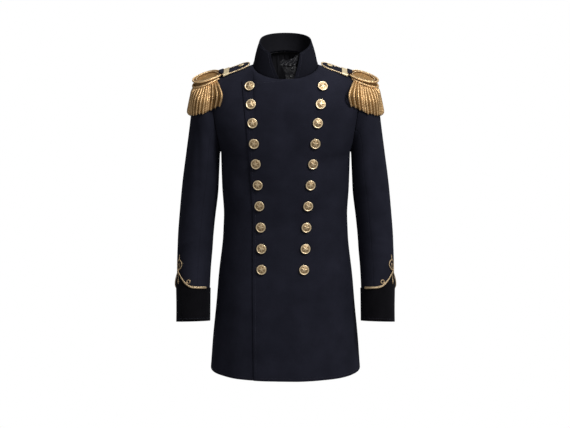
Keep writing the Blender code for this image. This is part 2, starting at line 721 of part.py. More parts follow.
def seat_from_front(tree, x, z, radius):
    """Where a button of a radius sits flat on a panel, and the way that it faces."""
    def hit(side, up):
        return tree.ray_cast(Vector((x + side, -FAR, z + up)), Vector((0, 1, 0)))[0]

    across = hit(radius, 0) - hit(-radius, 0)
    upward = hit(0, radius) - hit(0, -radius)
    direction = across.cross(upward).normalized()
    place = hit(0, 0)
    around = [hit(radius * math.cos(k), radius * math.sin(k)) for k in range(7)]
    proud = max([(spot - place).dot(direction) for spot in around] + [0.0])
    return place + direction * proud, direction


def add_button(name, place, direction, radius, finish):
    """A domed button on a short shank, standing on a panel."""
    rotation = Vector((0, 0, 1)).rotation_difference(direction)
    sides = BUTTON_SIDES
    points, faces = [], []
    for share, up in BUTTON_OUTLINE:
        for k in range(sides):
            angle = math.tau * k / sides
            flat = Vector((math.cos(angle), math.sin(angle), 0)) * radius * share
            points.append(place + rotation @ (flat + Vector((0, 0, REST_GAP + radius * up))))
    for ring in range(len(BUTTON_OUTLINE) - 1):
        for k in range(sides):
            a, b = ring * sides + k, ring * sides + (k + 1) % sides
            faces.append([a, b, b + sides, a + sides])
    faces.append(list(reversed(range(sides))))
    faces.append(list(range((len(BUTTON_OUTLINE) - 1) * sides, len(BUTTON_OUTLINE) * sides)))
    add_object(name, points, faces, finish, smooth=True)


def make_coat_buttons():
    tree = surface_tree(["front_left"])
    for row, (z, right_x, left_x) in enumerate(BUTTON_ROWS, 1):
        for side, x in (("right", right_x), ("left", left_x)):
            place, direction = seat_from_front(tree, x, z, BUTTON_RADIUS * BUTTON_SEAT_SHARE)
            add_button(f"coat_button_{side}_{row}", place, direction, BUTTON_RADIUS, GOLD_METAL)


def surface_tree(names):
    """The surfaces of some pieces together, for lines to meet."""
    points, faces = [], []
    for name in names:
        panel = bpy.data.objects[name].data
        faces += [[v + len(points) for v in p.vertices] for p in panel.polygons]
        points += [v.co.copy() for v in panel.vertices]
    return BVHTree.FromPolygons(points, faces)


def height_at(tree, x, y):
    place = tree.ray_cast(Vector((x, y, FAR)), Vector((0, 0, -1)))[0]
    return place.z if place else -1.0


def strap_level(tree, x):
    """Height of the strap's underside at its middle, just over the shoulder."""
    reach = STRAP_HALF_WIDTH + 2 * STRAP_CORD + KEEPER_WALL + STRAP_SIDE_CLEAR
    steps = [reach * k / 8 for k in range(-8, 9)]
    return max(height_at(tree, x, y) - STRAP_TILT * y for y in steps) + STRAP_GAP


def strap_half_width(x):
    if x >= STRAP_ROUND_X:
        return STRAP_HALF_WIDTH
    share = (STRAP_ROUND_X - x) / (STRAP_ROUND_X - STRAP_TIP_X)
    return STRAP_HALF_WIDTH * math.sqrt(max(1 - share ** 2.2, 0.0))


def make_straps(tree):
    """The shoulder strap, its edge cord, the keeper round it and its small button."""
    def level(x):
        inner, outer = strap_level(tree, STRAP_TIP_X), strap_level(tree, STRAP_OUTER_X)
        middle = strap_level(tree, (STRAP_TIP_X + STRAP_OUTER_X) / 2)
        share = (x - STRAP_TIP_X) / (STRAP_OUTER_X - STRAP_TIP_X)
        straight = inner + (outer - inner) * share
        return straight + max(middle - (inner + outer) / 2, 0.0)

    def at(x, y, up):
        return Vector((x, y, level(x) + STRAP_TILT * y + up))

    tip = STRAP_TIP_X + STRAP_TIP_FLAT
    stations = [*STRAP_STATIONS, tip]
    grid = []
    for y_share in (-1.0, -0.5, 0.0, 0.5, 1.0):
        grid.append([at(x, y_share * strap_half_width(x), 0.0) for x in reversed(stations)])
    quads = grid_quads(grid, range(4), range(len(stations) - 1), outward=False)
    normals = point_normals(quads)
    other = {key(flipped(Vector(k))): flipped(v) for k, v in normals.items()}
    wall = (STRAP_THICK, WOOL_NAVY, lambda point: STRAP_THICK)
    cloth_wall("epaulette_strap_left", quads, normals, *wall)
    cloth_wall("epaulette_strap_right", mirrored(quads), other, *wall)

    off, step = STRAP_CORD + REST_GAP, STRAP_TIP_FLAT / 2
    edge = []
    for x in stations:
        width = strap_half_width(x)
        slope = STRAP_TIP_SLOPE
        if x > tip:
            slope = (strap_half_width(x + step) - strap_half_width(x - step)) / (2 * step)
        bend = math.hypot(1, slope)
        edge.append((x - off * slope / bend, -(width + off / bend)))
    edge += [(x, -y) for x, y in reversed(edge)]
    path = [at(x, y, STRAP_CORD) for x, y in edge]
    add_cord("strap_cord", path, STRAP_CORD, STRAP_CORD_SIDES)

    half = STRAP_HALF_WIDTH + 2 * STRAP_CORD + 2 * REST_GAP
    top = 2 * STRAP_CORD + REST_GAP
    inner = [(-half, 0.0), (-half, top), (half, top), (half, 0.0)]
    outer = [(-half - KEEPER_WALL, 0.0), (-half - KEEPER_WALL, top + KEEPER_WALL)]
    outer += [(-y, up) for y, up in reversed(outer)]
    points = [at(x, y, up) for x in KEEPER_X for y, up in outer + list(reversed(inner))]
    ring = len(outer) + len(inner)
    faces = [[k, (k + 1) % ring, (k + 1) % ring + ring, k + ring] for k in range(ring)]
    for k in range(3):
        caps = [k, ring - 1 - k, ring - 2 - k, k + 1]
        faces.append(caps)
        faces.append([v + ring for v in reversed(caps)])
    add_pair("strap_keeper", points, faces, GOLD_METAL)

    place = at(STRAP_BUTTON_X, 0.0, STRAP_THICK + SEAM)
    ahead = at(STRAP_BUTTON_X + 0.01, 0.0, STRAP_THICK) - place
    direction = ahead.cross(Vector((0, 1, STRAP_TILT))).normalized()
    for side, spot, way in (("left", place, direction), ("right", flipped(place), flipped(direction))):
        add_button(f"strap_button_{side}", spot, way, STRAP_BUTTON_RADIUS, GOLD_METAL)


def ring_level(x, y):
    """Height of the epaulette's oval plane."""
    return RING_LEVEL - RING_FALL * (x - RING_LEVEL_X) + RING_TILT * y


def ring_point(turn, grow, drop):
    """A point of the oval, turned in degrees from its outer end towards the front."""
    angle = math.radians(turn)
    x = RING_X + (RING_HALF_WIDTH + grow) * math.cos(angle)
    y = -(RING_HALF_DEPTH + grow) * math.sin(angle)
    return Vector((x, y, ring_level(x, y) - drop))


def lower_drop(turn):
    """How far the lower rope lies under the upper one; the crescent is deepest at its outer end."""
    least, more = LOWER_CORD_DROP
    return least + more * ((1 + math.cos(math.radians(turn))) / 2) ** LOWER_CORD_POWER


def make_board_and_cords():
    """The gold board in the oval, the rope round it and the second rope below."""
    turns = [360 * k / RING_STEPS for k in range(RING_STEPS)]
    path = [ring_point(t, 0.0, 0.0) for t in turns]
    add_cord("crescent_cord_upper", path, UPPER_CORD, ROPE_SIDES, closed=True)
    inset = -(UPPER_CORD + REST_GAP)
    top = [ring_point(t, inset, 0.0) for t in turns]
    bottom = [ring_point(t, inset, BOARD_THICK) for t in turns]
    count = len(turns)
    faces = [list(reversed(range(count))), list(range(count, 2 * count))]
    faces += [[k, (k + 1) % count, (k + 1) % count + count, k + count] for k in range(count)]
    add_pair("epaulette_board", top + bottom, faces, GOLD_CORD)
    reach = STRAND_ARC + 2
    around = [-reach + 2 * reach * k / RING_STEPS for k in range(RING_STEPS + 1)]
    path = [ring_point(t, 0.0, lower_drop(t)) for t in around]
    add_cord("crescent_cord_lower", path, LOWER_CORD, ROPE_SIDES)


def clear_reach(tree, z, middle, way):
    """How far out from a strand's middle line the coat's surface reaches at a height."""
    across = Vector((-way.y, way.x, 0)) * (STRAND_HALF + STRAND_SIDE_CLEAR)
    level = Vector((middle.x, middle.y, z))
    reaches = [-1.0]
    for side in (-1, 0, 1):
        place = tree.ray_cast(level + across * side + way * STRAND_SIGHT, -way)[0]
        if place:
            reaches.append((place - level).dot(way))
    return max(reaches)


def strand_sections(tree, root):
    """Middles and outward ways of one strand's sections, from its root down to its tip."""
    way = Vector((root.x - RING_X, root.y, 0))
    way.x /= RING_HALF_WIDTH
    way.y /= RING_HALF_DEPTH
    way = Vector((max(way.x, STRAND_MOST_INWARD), way.y, 0)).normalized()
    middle = Vector((root.x, root.y, 0)) - way * STRAND_BACK
    tip_z = TIP_Z - TIP_FALL * (root.x - STRAND_TIP_X)
    shares = (0.0,) + STRAND_SHARES
    levels = [root.z + (tip_z - root.z) * share for share in shares]
    reaches = [STRAND_BACK]
    for spread in STRAND_SPREADS:
        reaches.append(reaches[-1] + spread)
    for _ in range(3):
        for k in range(1, len(shares)):
            for part in STRAND_TRIES:
                z = levels[k - 1] + (levels[k] - levels[k - 1]) * part
                need = clear_reach(tree, z, middle, way) + STRAND_HALF + STRAND_CLEAR
                lack = need - (reaches[k - 1] + (reaches[k] - reaches[k - 1]) * part)
                reaches[k] += max(lack, 0.0)
                if k > 1:
                    reaches[k - 1] += max(lack, 0.0) * (1 - part)
    return [(middle + way * r + Vector((0, 0, z)), way) for r, z in zip(reaches[1:], levels[1:])]


def make_fringe(tree):
    """A narrow band under the upper rope, with the bullion strands growing from its lower edge."""
    pitch = 2 * STRAND_ARC / STRANDS
    turns = []
    for k in range(STRANDS):
        turns.append(-STRAND_ARC + pitch * (k + (1 - STRAND_SHARE) / 2))
        turns.append(-STRAND_ARC + pitch * (k + (1 + STRAND_SHARE) / 2))
    points, faces = [], []
    for turn in turns:
        face = -(LOWER_CORD + BAND_GAP)
        for grow in (face - BAND_THICK, face):
            points.append(ring_point(turn, grow, BOARD_THICK + REST_GAP))
            points.append(ring_point(turn, grow, lower_drop(turn) + LOWER_CORD + BAND_BELOW))
    # each turn has four points: inner top, inner bottom, outer top, outer bottom
    last = len(turns) - 1
    for k in range(last):
        a, b = 4 * k, 4 * (k + 1)
        faces.append([a + 2, a + 3, b + 3, b + 2])
        faces.append([a, b, b + 1, a + 1])
        faces.append([a, a + 2, b + 2, b])
        if k % 2:
            faces.append([a + 1, b + 1, b + 3, a + 3])
    faces.append([0, 1, 3, 2])
    end = 4 * last
    faces.append([end, end + 2, end + 3, end + 1])
    for k in range(0, last, 2):
        a, b = 4 * k, 4 * (k + 1)
        ring = [a + 1, b + 1, b + 3, a + 3]
        root = sum((points[v] for v in ring), Vector()) / 4
        for middle, way in strand_sections(tree, root):
            across = Vector((-way.y, way.x, 0))
            if across.dot(points[b + 3] - points[a + 3]) < 0:
                across = -across
            corners = ((-1, -1), (-1, 1), (1, 1), (1, -1))
            fresh = [middle + (way * o + across * s) * STRAND_HALF for o, s in corners]
            start = len(points)
            points += fresh
            faces += [[ring[i], ring[(i + 1) % 4], start + (i + 1) % 4, start + i] for i in range(4)]
            ring = [start + i for i in range(4)]
        faces.append(ring)
    add_pair("fringe", points, faces, GOLD_CORD)


def face_outwards():
    """Turn any body whose faces point in, such as a cord built from its far end."""
    for item in bpy.data.objects:
        shape = bmesh.new()
        shape.from_mesh(item.data)
        bmesh.ops.recalc_face_normals(shape, faces=shape.faces)
        if shape.calc_volume(signed=True) < 0:
            bmesh.ops.reverse_faces(shape, faces=shape.faces)
        shape.to_mesh(item.data)
        shape.free()


def main():
    clear_scene()
    front, back, normals = make_panels()
    sleeve, sleeve_normals = make_sleeves()
    make_cuffs(sleeve, sleeve_normals)
    make_cuff_braids(sleeve, sleeve_normals)
    make_collar()
    make_neck_satin(front, back, normals)
    make_coat_buttons()
    tree = surface_tree(LEFT_SURFACES)
    make_straps(tree)
    make_board_and_cords()
    make_fringe(tree)
    face_outwards()


main()
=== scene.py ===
# %% [markdown]
# # A double-breasted military dress coat
# The coat stands filled out as it is worn, with nobody in it. This lesson dresses a plain solid model
# in cloth, cord and metal. The solids were made first and fix every size, so this file only adds what
# the eye sees: smooth cloth with soft creases, twisted gold cord, bullion fringe and embossed buttons.

# %% Load the solid model and keep its size
import json
import math

import bmesh
import bpy
import numpy as np
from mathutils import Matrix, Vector
from mathutils.bvhtree import BVHTree

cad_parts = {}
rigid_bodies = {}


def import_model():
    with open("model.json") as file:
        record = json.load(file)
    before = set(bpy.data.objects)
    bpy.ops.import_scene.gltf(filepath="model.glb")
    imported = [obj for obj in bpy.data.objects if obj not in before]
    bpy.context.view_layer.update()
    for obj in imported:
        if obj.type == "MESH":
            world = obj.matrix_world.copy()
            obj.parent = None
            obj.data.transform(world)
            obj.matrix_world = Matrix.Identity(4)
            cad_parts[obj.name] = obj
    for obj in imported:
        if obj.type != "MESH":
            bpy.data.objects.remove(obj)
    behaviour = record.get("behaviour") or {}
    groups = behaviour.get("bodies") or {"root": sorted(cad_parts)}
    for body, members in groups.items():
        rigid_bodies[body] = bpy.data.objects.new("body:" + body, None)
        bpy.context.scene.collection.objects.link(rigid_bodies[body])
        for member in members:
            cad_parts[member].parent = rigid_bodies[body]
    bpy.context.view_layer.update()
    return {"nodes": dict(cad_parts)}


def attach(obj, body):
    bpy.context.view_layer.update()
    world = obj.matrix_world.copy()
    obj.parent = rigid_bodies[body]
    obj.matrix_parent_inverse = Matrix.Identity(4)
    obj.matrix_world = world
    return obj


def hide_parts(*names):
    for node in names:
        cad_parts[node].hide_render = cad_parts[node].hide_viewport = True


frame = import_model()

# the wearer's left is the plus side of x
SIDES = (("left", 1), ("right", -1))
print("nodes to dress:", len(frame["nodes"]))

# %% [markdown]
# ## Small helpers for node trees
# Materials and Geometry Nodes are both made of nodes joined by links. Placing each node by hand takes
# many lines, so one helper adds a node, sets its plain values and joins its inputs. Another makes a
# tree with named inputs and outputs, so that each effect is built once and used with its own values.

# %% Node helpers


def put(tree, kind, values=None, **settings):
    """Add a node, set its settings, then give each named input a value or join it to a socket."""
    made = tree.nodes.new(kind)
    for name, value in settings.items():
        setattr(made, name, value)
    for name, value in (values or {}).items():
        socket = made.inputs[name]
        if isinstance(value, bpy.types.NodeSocket):
            tree.links.new(value, socket)
        else:
            socket.default_value = value
    return made


def number(tree, operation, first, second=0.0, third=0.0):
    """One step of arithmetic inside a tree."""
    return put(tree, "ShaderNodeMath", {0: first, 1: second, 2: third}, operation=operation).outputs[0]


def new_tree(name, kind, inputs, outputs):
    """A node tree with named sockets. Each socket is a name, a type and a starting value."""
    tree = bpy.data.node_groups.new(name, kind)
    for way, sockets in (("INPUT", inputs), ("OUTPUT", outputs)):
        for label, socket_type, *start in sockets:
            socket = tree.interface.new_socket(label, in_out=way, socket_type="NodeSocket" + socket_type)
            if start:
                socket.default_value = start[0]
    return tree, tree.nodes.new("NodeGroupInput").outputs, tree.nodes.new("NodeGroupOutput").inputs


def placed(name, mesh):
    """Put a mesh in the scene as a piece of its own."""
    piece = bpy.data.objects.new(name, mesh)
    bpy.context.scene.collection.objects.link(piece)
    return piece


def run_tree(name, mesh, tree, **inputs):
    """Give a mesh to a Geometry Nodes tree and keep what comes out as a plain mesh object."""
    item = placed(name + "_start", mesh)
    step = item.modifiers.new("Nodes", "NODES")
    step.node_group = tree
    for socket in tree.interface.items_tree:
        label = socket.name.replace(" ", "_").lower()
        if label in inputs:
            step[socket.identifier] = inputs[label]
    done = bpy.data.meshes.new_from_object(item.evaluated_get(bpy.context.evaluated_depsgraph_get()))
    bpy.data.objects.remove(item, do_unlink=True)
    done.name = name
    return placed(name, done)


# %% [markdown]
# ## Finish 1: the nap of cloth
# Heavy military wool is felted after weaving, so it shows no threads, only a soft uneven nap with tiny
# flecks. Velvet has a deeper, softer pile, and satin a fine thread. One group gives all three a height
# for the bump and a mask for the colour, read from the object's own coordinates so that nothing slides.

# %% Shader group for nap and thread
nap_group, nap_in, nap_out = new_tree(
    "Cloth nap",
    "ShaderNodeTree",
    [("Grain size", "Float", 0.0012), ("Cloud size", "Float", 0.06), ("Thread pitch", "Float", 0.0006),
     ("Thread share", "Float", 0.3)],
    [("Mask", "Float"), ("Height", "Float")],
)
place = put(nap_group, "ShaderNodeTexCoord").outputs["Object"]
grain = put(nap_group, "ShaderNodeTexNoise", {
    "Vector": place, "Scale": number(nap_group, "DIVIDE", 1.0, nap_in["Grain size"]), "Detail": 3.0,
}).outputs[0]
cloud = put(nap_group, "ShaderNodeTexNoise", {
    "Vector": place, "Scale": number(nap_group, "DIVIDE", 1.0, nap_in["Cloud size"]), "Detail": 4.0,
}).outputs[0]
thread = put(nap_group, "ShaderNodeTexWave", {
    "Vector": place, "Scale": number(nap_group, "DIVIDE", 0.314, nap_in["Thread pitch"]),
    "Distortion": 0.6, "Detail": 1.0,
}, bands_direction="DIAGONAL").outputs["Fac"]
threaded = number(nap_group, "MULTIPLY", thread, nap_in["Thread share"])
nap_group.links.new(number(nap_group, "ADD", grain, threaded), nap_out["Height"])
mixed = number(nap_group, "MULTIPLY_ADD", grain, 0.4, number(nap_group, "MULTIPLY", cloud, 0.6))
nap_group.links.new(mixed, nap_out["Mask"])
print("cloth nap group:", len(nap_group.nodes), "nodes")

# %% [markdown]
# ## Cloth finishes
# Wool swallows light and glows a little at grazing angles, where the nap stands up: that is the sheen
# socket. Velvet does the same more strongly on a blacker ground. Satin is smooth, so it keeps a
# broad highlight. The shader itself stays in each material, and only masks and heights come from the
# group.

# %% Wool, velvet and satin


def cloth_finish(name, dark, light, rough, specular, sheen, sheen_tint, bump, **nap):
    material = bpy.data.materials.new(name)
    material.use_nodes = True
    tree = material.node_tree
    shader = tree.nodes["Principled BSDF"]
    group = put(tree, "ShaderNodeGroup", {}, node_tree=nap_group)
    for label, value in nap.items():
        group.inputs[label.replace("_", " ").capitalize()].default_value = value
    ramp = put(tree, "ShaderNodeValToRGB", {"Fac": group.outputs["Mask"]})
    ramp.color_ramp.elements[0].position, ramp.color_ramp.elements[1].position = 0.32, 0.68
    ramp.color_ramp.elements[0].color, ramp.color_ramp.elements[1].color = (*dark, 1.0), (*light, 1.0)
    tree.links.new(ramp.outputs[0], shader.inputs["Base Color"])
    relief = put(tree, "ShaderNodeBump",
                 {"Height": group.outputs["Height"], "Strength": bump, "Distance": 0.0004})
    tree.links.new(relief.outputs[0], shader.inputs["Normal"])
    shader.inputs["Roughness"].default_value = rough
    shader.inputs["Specular IOR Level"].default_value = specular
    shader.inputs["Sheen Weight"].default_value = sheen
    shader.inputs["Sheen Roughness"].default_value = 0.5
    shader.inputs["Sheen Tint"].default_value = (*sheen_tint, 1.0)
    return material


navy_wool = cloth_finish("navy_wool", (0.0088, 0.0092, 0.0150), (0.0150, 0.0156, 0.0250), 0.92, 0.06, 0.015,
                         (0.5, 0.55, 0.9), 0.35, grain_size=0.0013, cloud_size=0.05)
# painted shade: a darker copy of the navy wool for the collar, which the light reaches less
collar_wool = cloth_finish("collar_wool", (0.0050, 0.0052, 0.0082), (0.0086, 0.0090, 0.0140), 0.92, 0.06,
                           0.010, (0.5, 0.55, 0.9), 0.35, grain_size=0.0013, cloud_size=0.05)
navy_inside = cloth_finish("navy_inside", (0.0040, 0.0040, 0.0060), (0.0070, 0.0070, 0.0100), 0.8, 0.15, 0.02,
                           (0.5, 0.5, 0.6), 0.25, grain_size=0.0010, cloud_size=0.04, thread_share=0.8)
black_velvet = cloth_finish("black_velvet", (0.0022, 0.0021, 0.0028), (0.0048, 0.0045, 0.0058), 0.95,
                            0.05, 0.04, (0.5, 0.5, 0.62), 0.5, grain_size=0.0009, cloud_size=0.03)
black_satin = cloth_finish("black_satin", (0.0050, 0.0050, 0.0064), (0.0095, 0.0095, 0.0120), 0.38, 0.22, 0.0,
                           (1.0, 1.0, 1.0), 0.12, grain_size=0.0008, cloud_size=0.02, thread_share=0.9)
# painted shade: a darker copy of the black satin for the stand, which lies in the collar's shadow
stand_satin = cloth_finish("stand_satin", (0.0030, 0.0030, 0.0040), (0.0058, 0.0058, 0.0072), 0.50, 0.14, 0.0,
                           (1.0, 1.0, 1.0), 0.12, grain_size=0.0008, cloud_size=0.02, thread_share=0.9)
# painted light: a lighter copy of the black satin, so the neck lining looks lit though the collar shades it
lining_satin = cloth_finish("lining_satin", (0.0095, 0.0095, 0.0120), (0.0190, 0.0190, 0.0225), 0.56,
                            0.22, 0.0,
                            (1.0, 1.0, 1.0), 0.12, grain_size=0.0008, cloud_size=0.02, thread_share=0.9)
navy_thread = cloth_finish("navy_thread", (0.020, 0.021, 0.034), (0.032, 0.034, 0.052), 0.6, 0.3, 0.1,
                           (0.6, 0.6, 0.8), 0.3, grain_size=0.0005, cloud_size=0.01, thread_share=0.9)
black_horn = cloth_finish("black_horn", (0.0035, 0.0035, 0.0042), (0.0080, 0.0078, 0.0085), 0.30, 0.5, 0.0,
                          (1.0, 1.0, 1.0), 0.04, grain_size=0.0007, cloud_size=0.004, thread_share=0.0)
print("cloth finishes ready")

# %% [markdown]
# ## Finish 2: wound gold thread
# Gold cord and bullion are made of fine gilt wire wound round a core. Seen close, the wire makes tiny
# rings that lean with the twist; seen from afar, the hollows between turns look brown, because they lie
# in shade. The group reads the piece's UV map, which runs round the cord and along it in metres, and
# gives the wire's bump and a soft tarnish. The gold finish then paints that shade in: it colours the
# hollows browner from the piece's groove attribute.

# %% Shader group for wound thread
wound_group, wound_in, wound_out = new_tree(
    "Wound thread",
    "ShaderNodeTree",
    [("Wire pitch", "Float", 0.0007), ("Lean", "Float", 1.0), ("Cloud size", "Float", 0.012)],
    [("Height", "Float"), ("Mask", "Float")],
)
around_along = put(wound_group, "ShaderNodeSeparateXYZ", {
    0: put(wound_group, "ShaderNodeUVMap", uv_map="UVMap").outputs[0],
})
turns = number(wound_group, "DIVIDE", around_along.outputs[1], wound_in["Wire pitch"])
leaning = number(wound_group, "MULTIPLY_ADD", around_along.outputs[0], wound_in["Lean"], turns)
wire = number(wound_group, "SINE", number(wound_group, "MULTIPLY", leaning, math.tau))
wound_group.links.new(number(wound_group, "MULTIPLY_ADD", wire, 0.5, 0.5), wound_out["Height"])
tarnish = put(wound_group, "ShaderNodeTexNoise", {
    "Vector": put(wound_group, "ShaderNodeTexCoord").outputs["Object"],
    "Scale": number(wound_group, "DIVIDE", 1.0, wound_in["Cloud size"]), "Detail": 3.0,
}).outputs[0]
wound_group.links.new(tarnish, wound_out["Mask"])
print("wound thread group:", len(wound_group.nodes), "nodes")


GILT_EDGE = (1.0, 0.80, 0.55)


def gold_finish(name, deep, bright, rough, metallic, pitch, lean, bump):
    """Gold with painted shade: browner in the hollows, where the piece's groove attribute is low, and mottled
    by a soft tarnish.
    """
    material = bpy.data.materials.new(name)
    material.use_nodes = True
    tree = material.node_tree
    shader = tree.nodes["Principled BSDF"]
    group = put(tree, "ShaderNodeGroup", {}, node_tree=wound_group)
    group.inputs["Wire pitch"].default_value = pitch
    group.inputs["Lean"].default_value = lean
    groove = put(tree, "ShaderNodeAttribute", attribute_name="groove").outputs["Fac"]
    share = number(tree, "MULTIPLY_ADD", groove, 0.75, number(tree, "MULTIPLY", group.outputs["Mask"], 0.3))
    ramp = put(tree, "ShaderNodeValToRGB", {"Fac": share})
    ramp.color_ramp.elements[0].color, ramp.color_ramp.elements[1].color = (*deep, 1.0), (*bright, 1.0)
    ramp.color_ramp.elements[0].position, ramp.color_ramp.elements[1].position = 0.12, 0.85
    tree.links.new(ramp.outputs[0], shader.inputs["Base Color"])
    relief = put(tree, "ShaderNodeBump",
                 {"Height": group.outputs["Height"], "Strength": bump, "Distance": 0.0002})
    tree.links.new(relief.outputs[0], shader.inputs["Normal"])
    shader.inputs["Roughness"].default_value = rough
    shader.inputs["Metallic"].default_value = metallic
    shader.inputs["Specular Tint"].default_value = (*GILT_EDGE, 1.0)
    return material


gold_rope = gold_finish("gold_rope", (0.17, 0.065, 0.010), (0.95, 0.67, 0.36), 0.42, 0.75, 0.0008, 1.0, 0.4)
gold_braid = gold_finish("gold_braid", (0.10, 0.045, 0.012), (0.66, 0.51, 0.32), 0.48, 0.7, 0.0008, 1.0, 0.4)
gold_bullion = gold_finish("gold_bullion", (0.17, 0.065, 0.008), (0.95, 0.66, 0.345), 0.45, 0.75, 0.0008,
                           1.0, 0.4)
# painted shade: a darker copy of the bullion gold, for the under row that lies in the shadow of the strands
# in front of it
gold_under = gold_finish("gold_under", (0.07, 0.026, 0.004), (0.36, 0.20, 0.065), 0.55, 0.6, 0.0008, 1.0, 0.4)
gold_lace = gold_finish("gold_lace", (0.14, 0.055, 0.010), (0.62, 0.39, 0.17), 0.5, 0.6, 0.0012, 1.0, 0.5)
gilt_metal = gold_finish("gilt_metal", (0.20, 0.100, 0.025), (0.95, 0.77, 0.50), 0.43, 0.9, 0.01, 0.0, 0.02)
pale_rope = gold_finish("pale_rope", (0.22, 0.11, 0.030), (0.97, 0.79, 0.52), 0.40, 0.7, 0.0008, 1.0, 0.4)
pale_gilt = gold_finish("pale_gilt", (0.30, 0.18, 0.060), (0.98, 0.84, 0.56), 0.42, 0.5, 0.01, 0.0, 0.02)
print("gold finishes ready")

# %% [markdown]
# ## The cloth's form
# Every panel follows the same named levels and seams as the solid model: tables of the body and the
# sleeve, and curves for the neck, shoulder and armhole. Here they are read at many more points, with a
# smooth curve through the rows, so the cloth is round where the solid has flat facets.

# %% The coat's tables
WOOL, COLLAR_WALL, SATIN, VELVET = 0.0025, 0.003, 0.0012, 0.0018
SEAM, REST_GAP, LAP_LIFT = 0.00004, 0.0004, 0.0030
# height, half width, front depth, back depth, half width of the lap
BODY_LEVELS = (
    (-0.806, 0.1968, 0.150, 0.135, 0.0811), (-0.731, 0.1909, 0.144, 0.128, 0.0818),
    (-0.644, 0.1824, 0.137, 0.120, 0.0824), (-0.558, 0.1740, 0.130, 0.112, 0.0829),
    (-0.472, 0.1643, 0.122, 0.103, 0.0825), (-0.429, 0.1614, 0.119, 0.099, 0.0820),
    (-0.387, 0.1598, 0.118, 0.097, 0.0818), (-0.323, 0.1640, 0.120, 0.100, 0.0855),
    (-0.232, 0.1665, 0.123, 0.104, 0.0915),
)
SECTION_POWER, BODY_ROWS, LAP_COLUMNS, COLUMNS = 0.85, 9, 5, 11
LAP_ROWS, NECK_ROWS = 6, 3
ROWS = BODY_ROWS + LAP_ROWS + NECK_ROWS
NECK_HALF_WIDTH, NECK_HALF_DEPTH, NECK_MIDDLE_Y, NECK_LEVEL, NECK_SLOPE = 0.083, 0.076, -0.010, -0.0025, 0.366
SHOULDER = Vector((0.195, 0.0, -0.045))
LAP_AT_SHOULDER, LAP_TOP_Z, LAP_TOP_FALL, SIDE_LAP_SHARE = 0.26, -0.0346, 0.053, 0.68
UNDERARM_X, ARMSCYE_HALF_DEPTH, BACK_POWER, LIFT_FADES = 0.1665, 0.068, 0.85, (0.115, 0.160)
# outer x, outer z, inner x, inner z, half depth, middle y, forward tilt
SLEEVE_RINGS = np.array((
    (0.1957, -0.0448, 0.1672, -0.2317, 0.0680, 0.000, 0.00),
    (0.2110, -0.0480, 0.1686, -0.2350, 0.0715, 0.000, 0.00),
    (0.2275, -0.0600, 0.1694, -0.2430, 0.0745, 0.000, 0.00),
    (0.2400, -0.0950, 0.1704, -0.2640, 0.0750, 0.002, 0.00),
    (0.2440, -0.1450, 0.1720, -0.2920, 0.0740, 0.003, 0.00),
    (0.2560, -0.2310, 0.1752, -0.3380, 0.0712, 0.005, 0.00),
    (0.2690, -0.3280, 0.1818, -0.3950, 0.0680, 0.005, 0.03),
    (0.2783, -0.4300, 0.1873, -0.4540, 0.0648, -0.001, 0.12),
    (0.2810, -0.4820, 0.1898, -0.4900, 0.0630, -0.009, 0.17),
    (0.2825, -0.5300, 0.1940, -0.5330, 0.0610, -0.020, 0.21),
    (0.2824, -0.5770, 0.1962, -0.5780, 0.0590, -0.032, 0.24),
    (0.2821, -0.6240, 0.1974, -0.6240, 0.0575, -0.045, 0.27),
    (0.2818, -0.6710, 0.1976, -0.6680, 0.0560, -0.058, 0.28),
))
print("body levels:", len(BODY_LEVELS), "sleeve rings:", len(SLEEVE_RINGS))

# %% Points of the body


def smoothstep(low, high, value):
    share = min(max((value - low) / (high - low), 0.0), 1.0)
    return share * share * (3 - 2 * share)


def curve_through(rows, place):
    """The rows' values at a fractional row number, on a smooth curve through them all."""
    last = len(rows) - 1
    k = min(max(int(math.floor(place)), 0), last - 1)
    share = place - k
    start, end = rows[k], rows[k + 1]
    before, after = rows[max(k - 1, 0)], rows[min(k + 2, last)]
    out_slope = (end - before) / (2 if k else 1)
    in_slope = (after - start) / (2 if k < last - 1 else 1)
    a = 2 * start - 2 * end + out_slope + in_slope
    b = -3 * start + 3 * end - 2 * out_slope - in_slope
    return ((a * share + b) * share + out_slope) * share + start


def table_row(height):
    """The body's sizes at a height, on a smooth curve through its levels."""
    table, last = BODY_LEVELS, len(BODY_LEVELS) - 1
    k = 0
    while k < last - 1 and height > table[k + 1][0]:
        k += 1
    start, end = table[k], table[k + 1]
    span = end[0] - start[0]
    share = min(max((height - start[0]) / span, 0.0), 1.0)
    values = []
    for c in range(1, len(start)):
        slopes = []
        for m in (k, k + 1):
            before, after = table[max(m - 1, 0)], table[min(m + 1, last)]
            slopes.append((after[c] - before[c]) / (after[0] - before[0]) * span)
        a = 2 * start[c] - 2 * end[c] + slopes[0] + slopes[1]
        b = -3 * start[c] + 3 * end[c] - 2 * slopes[0] - slopes[1]
        values.append(((a * share + b) * share + slopes[0]) * share + start[c])
    return values


def body_point(column, height, back):
    """A point of the body below the chest, with column 0 at the centre."""
    half_width, front, back_depth, lap = table_row(height)
    lap_turn = math.asin((lap / half_width) ** (1 / SECTION_POWER))
    if column <= LAP_COLUMNS:
        turn = math.asin((lap * column / LAP_COLUMNS / half_width) ** (1 / SECTION_POWER))
    else:
        turn = lap_turn + (math.pi / 2 - lap_turn) * (column - LAP_COLUMNS) / (COLUMNS - LAP_COLUMNS)
    depth = back_depth if back else -front
    x = half_width * math.sin(turn) ** SECTION_POWER
    y = depth * abs(math.cos(turn)) ** SECTION_POWER
    return Vector((x, y, height)), turn / (math.pi / 2)


def neck_point(turn, inset=0.0):
    """A point of the neck seam, turned in degrees from the centre front."""
    angle = math.radians(turn)
    y = NECK_MIDDLE_Y - (NECK_HALF_DEPTH - inset) * math.cos(angle)
    return Vector(((NECK_HALF_WIDTH - inset) * math.sin(angle), y, NECK_LEVEL + NECK_SLOPE * y))


